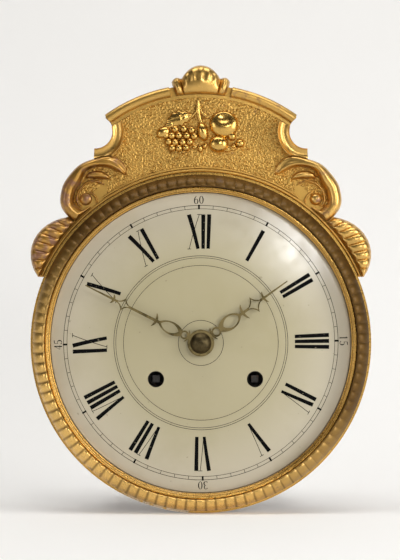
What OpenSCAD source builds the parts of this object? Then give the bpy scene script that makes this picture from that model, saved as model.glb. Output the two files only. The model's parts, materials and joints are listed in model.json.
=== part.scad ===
// Key-wound shield clock: a gilt shield with a carved crest, a convex painted dial,
// skeleton hands, and a spring-driven movement with gong striking in a wooden case.
// Pieces are drawn lying on their backs: X to the right, Y up the dial, Z from the
// wall towards the viewer, with the hands' centre at the origin. stand() sets them up.

/* [Shield] */
// Outer radius of the fluted ring
ring_r = 119.7; // [112:0.1:126]
// Width of the whole ring, from its outer edge to the opening that shows the dial
rim_w = 13.9; // [13:0.1:17]
// Width of the fluted band
flute_band_w = 8.8; // [8:0.1:9.5]
// Width of the plain edge outside the fluted band
rim_edge_w = 1.5; // [1:0.1:2]
// Flutes round the ring
flute_count = 102; // [60:2:120]
// Depth of a groove between flutes
flute_depth = 1.3; // [0.4:0.1:2]
// Height of the ring above the shield board
ring_h = 16; // [13:0.5:18]
// Thickness of the wooden shield board
board_t = 10; // [8:0.5:14]
// Thickness of the stippled ground on the crest
ground_t = 3; // [2:0.5:4]
// Height of the crest's top above the ring
crest_rise = 62.2; // [58:0.1:68]
// Half the width of the top rail
arch_half_w = 67.6; // [60:0.1:72]
// Radius of the top rail's outer edge
arch_r = 116.2; // [105:0.1:130]
// Width of the top rail
rail_w = 7.2; // [5:0.1:9]
// Radius of the notch in each side of the crest
notch_r = 11.6; // [10:0.1:13]
// Flutes on the shell finial
shell_flutes = 9; // [5:1:11]
// Ribs on each side fan
fan_ribs = 8; // [5:1:10]
// Height of the scrolls above their ground
scroll_h = 8; // [5:0.5:9]

/* [Dial] */
// Thickness of the dial sheet
dial_t = 1; // [0.6:0.1:1.5]
// Rise of the dial from its edge to its centre
dial_rise = 8.2; // [5:0.1:10]
// Radius of each winding hole
winding_hole_r = 5.7; // [5:0.1:7]
// Distance of the left winding hole from the centre line
strike_x = 31.5; // [31:0.1:34]
// Distance of the right winding hole from the centre line
going_x = 38; // [37:0.1:40]
// Drop of the winding holes below the centre
winding_drop = 25.5; // [25:0.1:28]

/* [Hands] */
// Length of the minute hand
minute_len = 90.3; // [80:0.1:95]
// Length of the hour hand
hour_len = 74.5; // [66:0.1:78]
// Thickness of each hand
hand_t = 0.9; // [0.6:0.1:1.2]
// Angle of the minute hand past twelve
minute_angle = 296.6; // [0:0.1:360]
// Angle of the hour hand past twelve
hour_angle = 54.4; // [0:0.1:360]
// Radius of the domed hand nut
nut_r = 7.4; // [5:0.1:8]

/* [Movement] */
// Thickness of each brass plate
plate_t = 2; // [1.5:0.1:3]
// Space between the plates
plate_gap = 38; // [38:0.5:42]
// Radial play of a pivot in its hole
pivot_play = 0.05; // [0.02:0.01:0.1]
// Clearance between the pendulum and the bottom of the case
pendulum_clear = 0.8; // [0.5:0.1:6]
// Radius of the pendulum bob
bob_r = 14; // [10:0.5:15]
// Outer radius of the gong coil
gong_r = 42; // [36:0.5:44]

/* [Case] */
// Half the width of the case
case_half_w = 78; // [76:0.5:82]
// Half the height of the case
case_half_h = 80; // [76:0.5:84]
// Thickness of the case boards
case_t = 8; // [6:0.5:9]
// Thickness of the side doors
door_t = 5; // [4:0.5:6]
// Depth of the case behind the shield board
case_depth = 88; // [88:0.5:96]
// Radius of the hanging hole
hanger_r = 4; // [3:0.1:5]
// Height of the hanging hole above the hands' centre
hanger_rise = 94; // [92:0.5:98]

/* [Hidden] */
$fn = 64;
eps = 0.01;
fine = 0.1;

// Levels, counted from the wall
board_z = case_depth;
board_top = board_z + board_t;
ground_top = board_top + ground_t;
inner_h = case_half_h - case_t;
back_z = 34;
back_in = back_z + plate_t;
front_z = back_in + plate_gap;
front_out = front_z + plate_t;

// Plates
plate_x = [-60, 66];
plate_y = [-54, 62];
pillar_xy = [[-54, -48], [60, -48], [-54, 56], [60, 56]];
post_xy = [[-42, 54], [48, 54], [-56, -12], [62, 4]];
pillar_r = 3.5;
stud_r = 2;
fit = 0.05;

// Places of the going train
going_barrel_xy = [going_x, -winding_drop];
m_barrel = 0.62;
barrel_teeth = 80;
barrel_pinion = 10;
m_inter = 0.6;
inter_teeth = 72;
train_pinion = 8;
m_centre = 0.42;
centre_teeth = 96;
m_third = 0.4;
third_teeth = 88;
escape_teeth = 42;
escape_r = 11;
pallet_span = 36.4;
third_angle = 75;

function reach(m, a, b) = m * (a + b) / 2;
function polar(r, a) = [r * cos(a), r * sin(a)];
// Where two arms of lengths p and q from points a and b meet, on the left of the way from a to b
function meet(a, p, b, q) =
    let (d = norm(b - a), s = (p * p - q * q + d * d) / (2 * d),
         h = sqrt(p * p - s * s), u = (b - a) / d)
    a + s * u + h * [-u[1], u[0]];
function heading(a, b) = atan2(b[1] - a[1], b[0] - a[0]);

centre_xy = [0, 0];
inter_xy = meet(centre_xy, reach(m_inter, inter_teeth, train_pinion),
                going_barrel_xy, reach(m_barrel, barrel_teeth, barrel_pinion));
third_xy = polar(reach(m_centre, centre_teeth, train_pinion), third_angle);
escape_arm = reach(m_third, third_teeth, train_pinion);
escape_xy = [0, third_xy[1] + sqrt(escape_arm * escape_arm - third_xy[0] * third_xy[0])];
anchor_xy = [0, escape_xy[1] + escape_r / cos(pallet_span)];

// Places of the striking train
strike_barrel_xy = [-strike_x, -winding_drop];
m_pin = 0.5;
pin_teeth = 72;
m_lock = 0.42;
lock_teeth = 64;
m_warn = 0.4;
warn_teeth = 60;
pin_wheel_xy = strike_barrel_xy + polar(reach(m_barrel, barrel_teeth, barrel_pinion), 95);
lock_xy = pin_wheel_xy + polar(reach(m_pin, pin_teeth, train_pinion), 80);
warn_xy = lock_xy + polar(reach(m_lock, lock_teeth, train_pinion), 60);
fly_xy = warn_xy + polar(reach(m_warn, warn_teeth, train_pinion), 150);
hammer_xy = [-55.2, 0];
lever_xy = [-50, 30];

// Motion work
m_cannon = 0.75;
cannon_teeth = 12;
minute_teeth = 36;
m_hour = 0.72;
minute_pinion = 10;
hour_teeth = 40;
minute_stud_xy = polar(reach(m_cannon, cannon_teeth, minute_teeth), 135);

// Levels in the movement
drum_z = [back_in + 10, back_in + 28];
great_z = [drum_z[1], drum_z[1] + 2.5];
inter_z = [great_z[1] + 3, great_z[1] + 4.5];
centre_z = [back_in + 20, back_in + 21.5];
third_z = [back_in + 12, back_in + 13.5];
escape_z = [back_in + 6, back_in + 7.2];
lock_z = [back_in + 24, back_in + 25.5];
warn_z = [back_in + 16, back_in + 17.5];
fly_z = [back_in + 3, back_in + 13];
drum_r = 19;
drum_wall = 1.2;
winding_r = 3;
square_w = 5;
arbor_r = 1;
pivot_r = 0.7;

// Levels in front of the front plate
ratchet_z = [front_out + 0.6, front_out + 2.6];
ratchet_r = 10;
ratchet_teeth = 24;
cannon_z = [front_out + 2, front_out + 5];
minute_z = [front_out + 2.5, front_out + 4];
minute_pin_z = [minute_z[1], front_out + 9.5];
hour_z = [front_out + 6.5, front_out + 8];

// Dial and hands
sight_r = ring_r - rim_w;
dial_gap = 0.3;
dial_edge_r = sight_r - dial_gap;
dial_edge_z = board_top + dial_t + 0.8;
dial_top = dial_edge_z + dial_rise;
dome_r = (dial_edge_r * dial_edge_r + dial_rise * dial_rise) / (2 * dial_rise);
hour_hand_z = dial_top + 1.2;
minute_hand_z = hour_hand_z + hand_t + 2;
centre_hole_r = 6;
cannon_r = 2.7;
centre_arbor_r = 1.9;
hour_pipe_r = 4.3;
hub_r = 9.4;

// Behind the back plate
stud_z = [16, 24];
cock_z = [24, 26];
pendulum_z = 20;
rod_r = 0.9;
crutch_z = [28, 31];
gong_z = [10, 13];
gong_xy = [0, -8];
count_z = [28.5, 30];

// Crest
arch_top = ring_r + crest_rise;
arch_c = [0, arch_top - arch_r];
notch_c = [arch_half_w + 6.4, arch_top - 33.6];
crest_gap = 0.4;
bead_from = ring_r + crest_gap + fine;
inner_bead_r = 1;
outer_bead_r = 0.75;
crest_foot = bead_from + 2 * inner_bead_r + 0.3;

// Sets a piece up against the wall with the hanging hole at the origin
module stand() {
    translate([0, 0, -hanger_rise]) rotate([90, 0, 0]) children();
}

// A slab of an outline between two levels
module slab(z) {
    translate([0, 0, z[0]]) linear_extrude(z[1] - z[0]) children();
}

module rod(xy, z, r) {
    translate([xy[0], xy[1], z[0]]) cylinder(r = r, h = z[1] - z[0]);
}

module mirrored(side) {
    if (side < 0) mirror([1, 0, 0]) children();
    else children();
}

// Wheel teeth: radial flanks with cycloidal tips that suit a pinion of so many leaves
tooth_share = 0.88;
tip_height = 1.1;
root_depth = 0.95;
function cycloid(big, small, lift) =
    let (f = acos(1 - lift / (small * (1 + small / big))), t = f * small / big,
         x = (big + small) * cos(t) - small * cos(f + t),
         y = (big + small) * sin(t) - small * sin(f + t))
    [norm([x, y]), atan2(y, x)];
function wheel_side(teeth, m, leaves) =
    let (big = teeth * m / 2, small = leaves * m / 4)
    [for (k = [0, 0.5, 1]) cycloid(big, small, k * tip_height * m)];
function wheel_points(teeth, m, leaves, phase) =
    let (half = 90 / teeth * tooth_share, side = wheel_side(teeth, m, leaves),
         root = teeth * m / 2 - root_depth * m)
    [for (i = [0 : teeth - 1], p = concat([[root, -half]],
        [for (s = side) [s[0], s[1] - half]],
        [for (k = [len(side) - 1 : -1 : 0]) [side[k][0], half - side[k][1]]],
        [[root, half]])) polar(p[0], phase + i * 360 / teeth + p[1])];

// Pinion leaves: radial flanks with rounded tips
leaf_share = 0.38;
function pinion_points(leaves, m, phase) =
    let (r = leaves * m / 2, half = 180 / leaves * leaf_share)
    [for (i = [0 : leaves - 1], p = [[r - 1.45 * m, -half], [r, -half],
        [r + 0.3 * m, -half * 0.75], [r + 0.5 * m, -half * 0.3], [r + 0.5 * m, half * 0.3],
        [r + 0.3 * m, half * 0.75], [r, half], [r - 1.45 * m, half]])
        polar(p[0], phase + i * 360 / leaves + p[1])];
function leaf_phase(leaves, from, to) = heading(from, to) + 180 / leaves;

// A toothed wheel with its rim, crossings and hub
module toothed(teeth, m, leaves, phase, z, spokes = 5, rim = 2.6, hub = 4) {
    inner = teeth * m / 2 - root_depth * m - rim;
    slab(z) difference() {
        polygon(wheel_points(teeth, m, leaves, phase));
        difference() {
            circle(r = inner);
            circle(r = hub);
            for (i = [0 : spokes - 1]) rotate(i * 360 / spokes)
                translate([0, -1]) square([inner + 1, 2]);
        }
    }
}

// A steel arbor with a pivot at each end
module arbor(ends = [back_in + 0.3, front_z - 0.3], r = arbor_r, pivot = pivot_r) {
    translate([0, 0, ends[0]]) cylinder(r = r, h = ends[1] - ends[0]);
    translate([0, 0, back_z + 0.2])
        cylinder(r = pivot, h = plate_gap + 2 * plate_t - 0.4);
}

module at(xy) {
    translate([xy[0], xy[1], 0]) children();
}

// How far along a ray from a point the circle of radius r about c is met: the far or near crossing
function ray_to_circle(from, a, c, r, far = true) =
    let (d = from - c, b = d[0] * cos(a) + d[1] * sin(a), w = sqrt(max(0, b * b - d * d + r * r)))
    far ? -b + w : -b - w;

// Outer edges of the carved ornaments, as radii about their roots at an angle
shell_root = [0, arch_top - 51.9];
shell_half = 21.2;
shell_root_w = 10;
shell_foot = arch_top - 31.9;
shell_step = 14.6;
function shell_edge(a) = let (b = abs(a - 90))
    arch_top - shell_root[1] + (b < shell_step ? 13.3 - 0.042 * b * b
        : 7.1 - 0.15 * (b - 17.5) * (b - 17.5));

cove_end = arch_half_w + 8;
eye_rise = 9.24;
eye_turn = 51.42;
eye_c = polar(ring_r + eye_rise, eye_turn);
curl_out = 18.4;
function scroll_edge(a) = curl_out + 17.7 * pow(max(0, a + 20) / 150, 3);

fan_root = [20, 45];
fan_from = 0.8;
fan_top = [8.7, -15.7];
fan_to = heading(fan_root, eye_c + fan_top);
fan_mid = 12.6;
fan_out = ring_r - 17.5;
function fan_edge(a) = fan_out - 0.05 * (a - fan_mid) * (a - fan_mid);

function arc_steps(from, to, n) = [for (i = [0 : n]) from + (to - from) * i / n];
function edge_points(root, angles, radii) = [for (i = [0 : len(angles) - 1])
    root + polar(radii[i], angles[i])];

// Outlines of the shield: the inner corners of its shapes lie inside the crest or the ring
block_w = 25.6;
tie = [10.4, 0.8];
fan_ground = arc_steps(fan_from, fan_to + 3.2, 13);
module crest_outline(inset = 0) {
    difference() {
        intersection() {
            translate(arch_c) circle(r = arch_r - inset, $fn = 128);
            translate([-arch_half_w + inset, ring_r / 2])
                square([2 * (arch_half_w - inset), arch_top]);
        }
        for (s = [-1, 1]) translate([s * notch_c[0], notch_c[1]])
            circle(r = notch_r + inset);
    }
    for (s = [-1, 1]) mirrored(s) difference() {
        translate([cove_end - block_w, ring_r - block_w])
            square([block_w - inset, notch_c[1] - ring_r + block_w]);
        translate(notch_c) circle(r = notch_r + inset);
    }
    polygon(concat([[-shell_root_w, shell_foot], [shell_root_w, shell_foot]],
        edge_points(shell_root, arc_steps(90 - shell_half, 90 + shell_half, 16),
        [for (a = arc_steps(90 - shell_half, 90 + shell_half, 16)) shell_edge(a) - inset])));
    for (s = [-1, 1]) mirrored(s) {
        polygon(concat([[arch_half_w / 2, ring_r - block_w]], edge_points(eye_c,
            arc_steps(-60, 118, 20), [for (a = arc_steps(-60, 118, 20)) scroll_edge(a) - inset]),
            [[arch_half_w / 2, notch_c[1]]]));
        polygon(concat([[ring_r / 2, fan_root[1]]], edge_points(fan_root, fan_ground,
            [for (a = fan_ground) fan_edge(a) - inset]), [eye_c - tie]));
    }
}

module shield_outline(inset = 0) {
    circle(r = ring_r - 1 - inset, $fn = 128);
    crest_outline(inset);
}

module shield_board() {
    color("tan") slab([board_z, board_top]) difference() {
        shield_outline(0.5);
        circle(r = centre_hole_r + 2.5);
        at(going_barrel_xy) circle(r = winding_hole_r + 0.5);
        at(strike_barrel_xy) circle(r = winding_hole_r + 0.5);
        for (p = post_xy) at(p) circle(r = stud_r + fit);
    }
}

// Levels of the ring: the ledge that carries the fluted band, and the beads inside it
ledge_z = board_top + 6;
band_out = ring_r - rim_edge_w;
band_in = band_out - flute_band_w;
inner_w = band_in - sight_r;
bead_r = inner_w / 4;

module ring_frame() {
    color("goldenrod") rotate_extrude($fn = 128) {
        polygon([[sight_r, board_top], [ring_r, board_top], [ring_r, ledge_z],
            [band_in - fine, ledge_z], [band_in - fine, board_top + 12],
            [band_in - 0.3 * inner_w, board_top + 12.4],
            [sight_r + 0.5 * inner_w, board_top + 9.6],
            [sight_r + 0.36 * inner_w, board_top + 7.6], [sight_r, board_top + 6.4]]);
        translate([band_in - fine - bead_r, board_top + 12.2]) circle(r = bead_r, $fn = 24);
        translate([sight_r + 0.5 * inner_w, board_top + 9.2]) circle(r = 0.9 * bead_r, $fn = 24);
        translate([sight_r + 0.2 * inner_w, board_top + 6.6]) circle(r = 0.8 * bead_r, $fn = 24);
    }
}

// Section of the fluted band, from its inner foot over the top to its outer foot
band_top = board_top + ring_h;
function band_section(groove) =
    let (w = flute_band_w, mid = band_in + w / 2, g = groove * flute_depth)
    concat([[band_in, ledge_z]],
        [for (a = [150 : -30 : 30]) [mid + (w / 2) * cos(a),
            ledge_z + 2.4 + (band_top - ledge_z - 2.4 - g) * sin(a)]],
        [[band_out, ledge_z + 2.4 - g], [band_out, ledge_z]]);
module gadroon_band() {
    steps = 2 * flute_count;
    n = len(band_section(0));
    points = [for (i = [0 : steps - 1], p = band_section(i % 2))
        [p[0] * cos(i * 360 / steps), p[0] * sin(i * 360 / steps), p[1]]];
    faces = [for (i = [0 : steps - 1], k = [0 : n - 1], half = [0, 1])
        let (a = i * n + k, b = i * n + (k + 1) % n,
             c = ((i + 1) % steps) * n + (k + 1) % n, d = ((i + 1) % steps) * n + k)
        half == 0 ? [a, b, c] : [a, c, d]];
    color("goldenrod") polyhedron(points = points, faces = faces, convexity = 6);
}

// The carved ornaments all stand on the crest's ground
module on_ground() {
    translate([0, 0, ground_top]) children();
}

// A solid through closed sections that all have the same number of points, its ends capped
module loft(rings) {
    n = len(rings[0]);
    last = len(rings) - 1;
    faces = concat(
        [for (i = [0 : last - 1], k = [0 : n - 1], half = [0, 1])
            let (a = i * n + k, b = i * n + (k + 1) % n, c = b + n, d = a + n)
            half == 0 ? [a, b, c] : [a, c, d]],
        [for (k = [1 : n - 2]) [0, k + 1, k]],
        [for (k = [1 : n - 2]) [last * n, last * n + k, last * n + k + 1]]);
    polyhedron(points = [for (ring = rings, p = ring) p], faces = faces, convexity = 8);
}

// A rounded section that stands on the ground along a ray from a root
round_share = [[0, 0], [0, 0.3], [0.12, 0.75], [0.35, 0.97], [0.65, 0.97], [0.88, 0.75],
    [1, 0.3], [1, 0]];
function standing_section(root, a, r0, r1, h) = [for (s = round_share)
    let (p = root + polar(r0 + (r1 - r0) * s[0], a)) [p[0], p[1], h * s[1]]];

// A rounded limb that stands on the ground along a path through points [x, y, half width,
// height], and keeps outside the crest's foot
limb_steps = 4;
function along(path, i, t) =
    let (n = len(path) - 1, a = path[max(i - 1, 0)], b = path[i], c = path[min(i + 1, n)],
         d = path[min(i + 2, n)])
    (2 * b + (c - a) * t + (2 * a - 5 * b + 4 * c - d) * t * t
        + (3 * b - a - 3 * c + d) * t * t * t) / 2;
function path_points(path) = concat([for (i = [0 : len(path) - 2], k = [0 : limb_steps - 1])
    along(path, i, k / limb_steps)], [path[len(path) - 1]]);
// Unit vector across a path at one of its points, to the left of its way
function across(points, i) =
    let (a = points[max(i - 1, 0)], b = points[min(i + 1, len(points) - 1)])
    [a[1] - b[1], b[0] - a[0]] / norm([b[0] - a[0], b[1] - a[1]]);
function outside_foot(q) = q * max(1, crest_foot / norm(q));
function limb_section(p, u) =
    let (e0 = outside_foot([p[0], p[1]] - u * p[2]), e1 = outside_foot([p[0], p[1]] + u * p[2]))
    [for (s = round_share) let (q = e0 + (e1 - e0) * s[0]) [q[0], q[1], p[3] * s[1]]];
module limb(path) {
    points = path_points(path);
    loft([for (i = [0 : len(points) - 1]) limb_section(points[i], across(points, i))]);
}

// The ground within a curl, out to its path's outer edge and a margin beyond
module curl_ground(path, margin) {
    points = path_points(path);
    polygon(concat([eye_c], [for (i = [0 : len(points) - 1])
        [points[i][0], points[i][1]] - across(points, i) * (points[i][2] + margin)]));
}

module crest_panel() {
    color("darkgoldenrod") slab([board_top, ground_top]) difference() {
        crest_outline(0.5);
        circle(r = ring_r + crest_gap, $fn = 128);
    }
    color("darkgoldenrod") on_ground() crest_bead();
}

// Two thin beads that follow the ring along the crest's lower edge: the outer one lies
// between the scrolls
bead_span = 134;
outer_bead_span = 68;
bead_part = 0.15;
bead_base_h = 1;
module ring_bead(span, from, r) {
    rotate([0, 0, 90 - span / 2]) rotate_extrude(angle = span, $fn = 128)
        translate([from, 0]) {
            translate([0, -eps]) square([2 * r, bead_base_h + eps]);
            intersection() {
                translate([r, bead_base_h]) circle(r = r, $fn = 32);
                translate([0, bead_base_h / 2]) square(2 * r);
            }
        }
}

module crest_bead() {
    ring_bead(bead_span, bead_from, inner_bead_r);
    ring_bead(outer_bead_span, bead_from + 2 * inner_bead_r + bead_part, outer_bead_r);
}

// Half-round rail that stops against the shell, with a thin bead all along its lower edge
arch_end = asin(arch_half_w / arch_r);
rail_bead_w = 2.2;
rail_start = 11.2;
module arch_rail() {
    color("gold") on_ground() translate(arch_c) {
        for (s = [-1, 1]) mirrored(s) rotate([0, 0, 90 - arch_end])
            rotate_extrude(angle = arch_end - rail_start, $fn = 128)
                translate([arch_r - rail_w, 0]) {
                    square([rail_w, 2.2]);
                    intersection() {
                        translate([rail_w / 2, 2.2]) circle(r = rail_w / 2, $fn = 32);
                        square([rail_w, rail_w]);
                    }
                }
        rotate([0, 0, 90 - arch_end]) rotate_extrude(angle = 2 * arch_end, $fn = 128)
            translate([arch_r - rail_w - rail_bead_w, 0]) square([rail_bead_w, 1.6]);
    }
}

// Shell of radiating flutes on top of the crest
shell_h = 8;
shell_groove = 1.3;
module shell_finial() {
    n = 4 * shell_flutes;
    color("gold") on_ground() loft([for (i = [n : -1 : 0])
        let (a = 90 - shell_half + 2 * shell_half * i / n,
             groove = shell_groove * (1 - sin(180 * (i % 4) / 4)),
             r0 = ray_to_circle(shell_root, a, arch_c, arch_r - rail_w + crest_gap))
        standing_section(shell_root, a, r0, shell_edge(a), shell_h - groove)]);
}

// Fruit: domes that stand on a common backing, each clear of the next
grape_r = 2.3;
fruit_y = arch_top - 38.4;
fruit_sunk = 0.5;
backing_x = [-25, 26];
backing_y = [fruit_y - 8, fruit_y + 11.6];
backing_h = 0.9;
stalk_half_w = 2.2;
stalk_h = 2.2;
// Rows of the bunch: the first grape's place, how many there are, and their pitch
grape_rows = [[-18, 6.7, 3, 5.8], [-20.4, 2.2, 4, 5.27], [-22.8, -2.5, 4, 5.03],
    [-20, -6.8, 3, 5]];
// Plum, big fruit, apple, two small fruits, pear, leaf and the tail of the bunch: place, radius
fruits = [[1.4, 5.1, 4.1], [14.5, 11.9, 8], [13.6, -3.1, 5.4], [21.8, 2.9, 3],
    [27.6, -3.3, 3.3], [-27, 4.5, 4], [-15.5, 15.1, 4.8], [0, -7, 2.8]];
module dome(x, y, r) {
    translate([x, fruit_y + y, -fruit_sunk]) sphere(r = r, $fn = 48);
}

module fruit_relief() {
    color("gold") on_ground() intersection() {
        union() {
            board(backing_x, backing_y, [0, backing_h]);
            board([-stalk_half_w, stalk_half_w], [backing_y[1] - 1, arch_top - 12], [0, stalk_h]);
            for (row = grape_rows, k = [0 : row[2] - 1]) dome(row[0] + k * row[3], row[1], grape_r);
            for (f = fruits) dome(f[0], f[1], f[2]);
        }
        board([-arch_half_w, arch_half_w], [ring_r, arch_top], [0, ring_h]);
    }
}

// Side scroll, as limbs about the middle of its curl: a stem that rises to a broad leaf, a
// hooked leaf inside it, two thin ridges and an eye
// [x, y, half width, share of the scroll's height]
stem_path = [[-3, -6.4, 1.6, 0.4], [4.6, -11.6, 4.6, 0.88], [13.2, -4, 4.8, 1],
    [12.6, 6.4, 5, 1], [8.3, 14, 5, 1], [2.6, 21.9, 3.4, 0.95], [-6.8, 25.7, 3.2, 0.88],
    [-16.5, 26.3, 4.4, 0.82], [-22.4, 23.5, 4.1, 0.68], [-26.4, 19.4, 2.2, 0.45],
    [-28, 17.2, 0.5, 0.2]];
hook_path = [[0.6, 14.9, 0.6, 0.25], [-1.6, 16.5, 1.9, 0.55], [-4.7, 17.3, 2.9, 0.68],
    [-9.5, 17.2, 2.9, 0.7], [-13.6, 16.1, 2.3, 0.58], [-16.5, 14.4, 0.7, 0.3]];
ridge_path = [[-12.7, 10.4, 0.5, 0.25], [-6.3, 13, 0.9, 0.38], [0.1, 11.4, 0.9, 0.4],
    [4.9, 6.8, 0.9, 0.4], [6.7, 0.6, 0.9, 0.38], [5.6, -3.4, 0.8, 0.32], [3.6, -4.9, 0.4, 0.22]];
side_ridge_path = [[-2.2, 5.4, 0.4, 0.22], [-5.6, 2.6, 0.8, 0.32], [-7.2, -0.6, 0.8, 0.32],
    [-6.8, -2.6, 0.5, 0.25]];
eye_at = [0.6, 0.2];
eye_r = 4.4;
left_eye_h = 2.4;
right_eye_h = 4.2;
function scroll_path(path) =
    [for (p = path) [eye_c[0] + p[0], eye_c[1] + p[1], p[2], p[3] * scroll_h]];
module cap(r, h) {
    dome = (r * r + h * h) / (2 * h);
    intersection() {
        translate([0, 0, h - dome]) sphere(r = dome, $fn = 64);
        cylinder(r = r, h = h + 1, $fn = 64);
    }
}

module scroll(side, eye_h) {
    color("gold") on_ground() mirrored(side) {
        for (path = [stem_path, hook_path, ridge_path, side_ridge_path]) limb(scroll_path(path));
        at(eye_c + eye_at) cap(eye_r, eye_h);
    }
}

// Hollow moulding round the notch in the crest's side
cove_w = 8.4;
cove_h = 5.4;
module cove(side) {
    top_r = arch_r - rail_w - rail_bead_w - crest_gap;
    color("gold") on_ground() mirrored(side) difference() {
        intersection() {
            translate(notch_c) rotate([0, 0, 158]) rotate_extrude(angle = 116, $fn = 96)
                translate([notch_r + 0.2, 0]) difference() {
                    square([cove_w, cove_h]);
                    translate([cove_w / 2 - 0.6, cove_h + 1.6]) circle(r = 4.6, $fn = 48);
                }
            translate(arch_c) cylinder(r = top_r, h = 20, $fn = 128);
        }
        translate([0, 0, -1]) linear_extrude(20) curl_ground(scroll_path(stem_path), crest_gap);
    }
}

module side_coves() {
    for (s = [-1, 1]) cove(s);
}

// Fan of ribs below each scroll
fan_h = 6.5;
fan_groove = 1.6;
module fan(side) {
    n = 4 * fan_ribs;
    color("gold") on_ground() mirrored(side) loft([for (i = [n : -1 : 0])
        let (a = fan_from + (fan_to - fan_from) * i / n,
             groove = fan_groove * (1 - sin(180 * (i % 4) / 4)),
             r0 = ray_to_circle(fan_root, a, [0, 0], crest_foot))
        standing_section(fan_root, a, r0, max(fan_edge(a) - 0.9, r0 + 0.8), fan_h - groove)]);
}

// Convex dial sheet with its turned-down edge and three holes
module dial() {
    color("ivory") difference() {
        union() {
            intersection() {
                translate([0, 0, dial_top - dome_r]) difference() {
                    sphere(r = dome_r, $fn = 256);
                    sphere(r = dome_r - dial_t, $fn = 256);
                }
                translate([0, 0, board_top + 0.5]) cylinder(r = dial_edge_r, h = 20, $fn = 128);
            }
            translate([0, 0, board_top]) difference() {
                cylinder(r = dial_edge_r, h = 1.5, $fn = 128);
                translate([0, 0, -1]) cylinder(r = dial_edge_r - dial_t, h = 4, $fn = 128);
            }
        }
        rod(centre_xy, [board_z, dial_top + 5], centre_hole_r);
        rod(going_barrel_xy, [board_z, dial_top + 5], winding_hole_r);
        rod(strike_barrel_xy, [board_z, dial_top + 5], winding_hole_r);
    }
}

// Outlines of the hands, pointing up from the centre
module vesica(length, half_w) {
    r = (length * length / 4 + half_w * half_w) / (2 * half_w);
    intersection() {
        translate([r - half_w, 0]) circle(r = r, $fn = 96);
        translate([half_w - r, 0]) circle(r = r, $fn = 96);
    }
}

// A diamond whose four sides bow inwards
function bowed_side(a, b, sag) =
    [for (t = [0, 0.25, 0.5, 0.75]) a + (b - a) * t - (a + b) * sag * t * (1 - t)];
module diamond(half_l, half_w, sag) {
    corners = [[0, half_l], [half_w, 0], [0, -half_l], [-half_w, 0]];
    polygon([for (i = [0 : 3], p = bowed_side(corners[i], corners[(i + 1) % 4], sag)) p]);
}

// A crescent that opens towards the tip: half its span, its sag and its thickness
module crescent(half_w, sag, thick) {
    outer = (half_w * half_w + sag * sag) / (2 * sag);
    inner_sag = sag - thick;
    inner = (half_w * half_w + inner_sag * inner_sag) / (2 * inner_sag);
    intersection() {
        difference() {
            translate([0, outer]) circle(r = outer, $fn = 64);
            translate([0, thick + inner]) circle(r = inner, $fn = 64);
        }
        translate([-half_w + 0.3, -1]) square([2 * half_w - 0.6, sag + 1]);
    }
}

module taper(from, to, w0, w1) {
    polygon([[-w0 / 2, from], [w0 / 2, from], [w1 / 2, to], [-w1 / 2, to]]);
}

// One hand: needle, crescent, pierced diamond, shaft, crescent, pierced loop, ring and hub.
// The arguments are the places along the hand, and the half widths, of these forms
wire = 1.25;
module wafer(cut = 0) {
    translate([0, 0, -cut]) linear_extrude(hand_t + 2 * cut) children();
}

module hand(tip, horn_at, horn_w, gem_at, gem_l, gem_w, neck_at, neck_w, loop_from,
    loop_to, loop_w, ring_at, ring_out, bore) {
    difference() {
        union() {
            wafer() taper(gem_at + gem_l - 2 * wire, tip, wire + 0.5, 0.7);
            wafer() translate([0, horn_at - 1.4]) crescent(horn_w, 2.6, 1.7);
            wafer() translate([0, gem_at]) diamond(gem_l, gem_w, 0.55);
            wafer() taper(loop_to - 2.6, gem_at - gem_l + 2 * wire, wire + 0.9, wire + 0.5);
            wafer() translate([0, neck_at - 1.6]) crescent(neck_w, 3, 1.9);
            wafer() translate([0, (loop_from + loop_to) / 2])
                vesica(loop_to - loop_from, loop_w);
            wafer() translate([0, ring_at]) circle(r = ring_out, $fn = 48);
            wafer() translate([0, ring_at - ring_out - 0.9]) crescent(ring_out + 1.6, 2.6, 1.6);
            wafer() circle(r = hub_r);
        }
        wafer(1) translate([0, gem_at]) diamond(gem_l - 1.5 * wire, gem_w - 1.5 * wire, 0.5);
        wafer(1) translate([0, (loop_from + loop_to) / 2 + wire])
            vesica(loop_to - loop_from - 6 * wire, loop_w - wire);
        wafer(1) translate([0, ring_at]) circle(r = ring_out - wire, $fn = 48);
        wafer(1) circle(r = bore, $fn = 48);
    }
}

module minute_hand() {
    color("darkgoldenrod") translate([0, 0, minute_hand_z]) rotate([0, 0, -minute_angle])
        hand(minute_len, 68.6, 3.6, 60.6, 6.4, 5, 35.6, 5.2, 12.6, 33.6, 4.6, 12.9, 3.1,
            cannon_r - 0.5 + fit);
}

module hour_hand() {
    color("darkgoldenrod") translate([0, 0, hour_hand_z]) rotate([0, 0, -hour_angle])
        hand(hour_len, 54.6, 4.8, 46.2, 6.8, 6.3, 36.8, 6.2, 14.6, 34.6, 5.3, 13.4, 3.5,
            hour_pipe_r - 0.7 + fit);
}

washer_t = 1;
washer_z = minute_hand_z + hand_t;
module hand_washer() {
    color("olive") slab([washer_z, washer_z + washer_t]) difference() {
        circle(r = hub_r - 0.4);
        circle(r = cannon_r - 0.5 + fit, $fn = 48);
    }
}

nut_h = 4.6;
nut_z = washer_z + washer_t;
module hand_nut() {
    cap = (nut_r * nut_r + nut_h * nut_h) / (2 * nut_h);
    color("darkolivegreen") difference() {
        union() {
            intersection() {
                translate([0, 0, nut_z + nut_h - cap]) sphere(r = cap, $fn = 96);
                translate([0, 0, nut_z]) cylinder(r = nut_r, h = nut_h + 1);
            }
            translate([0, 0, nut_z + nut_h - 0.6]) cylinder(r = 1.6, h = 1.2, $fn = 32);
        }
        rod(centre_xy, [nut_z - 1, nut_z + 2.5], cannon_r - 0.5 + fit);
    }
}

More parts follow.
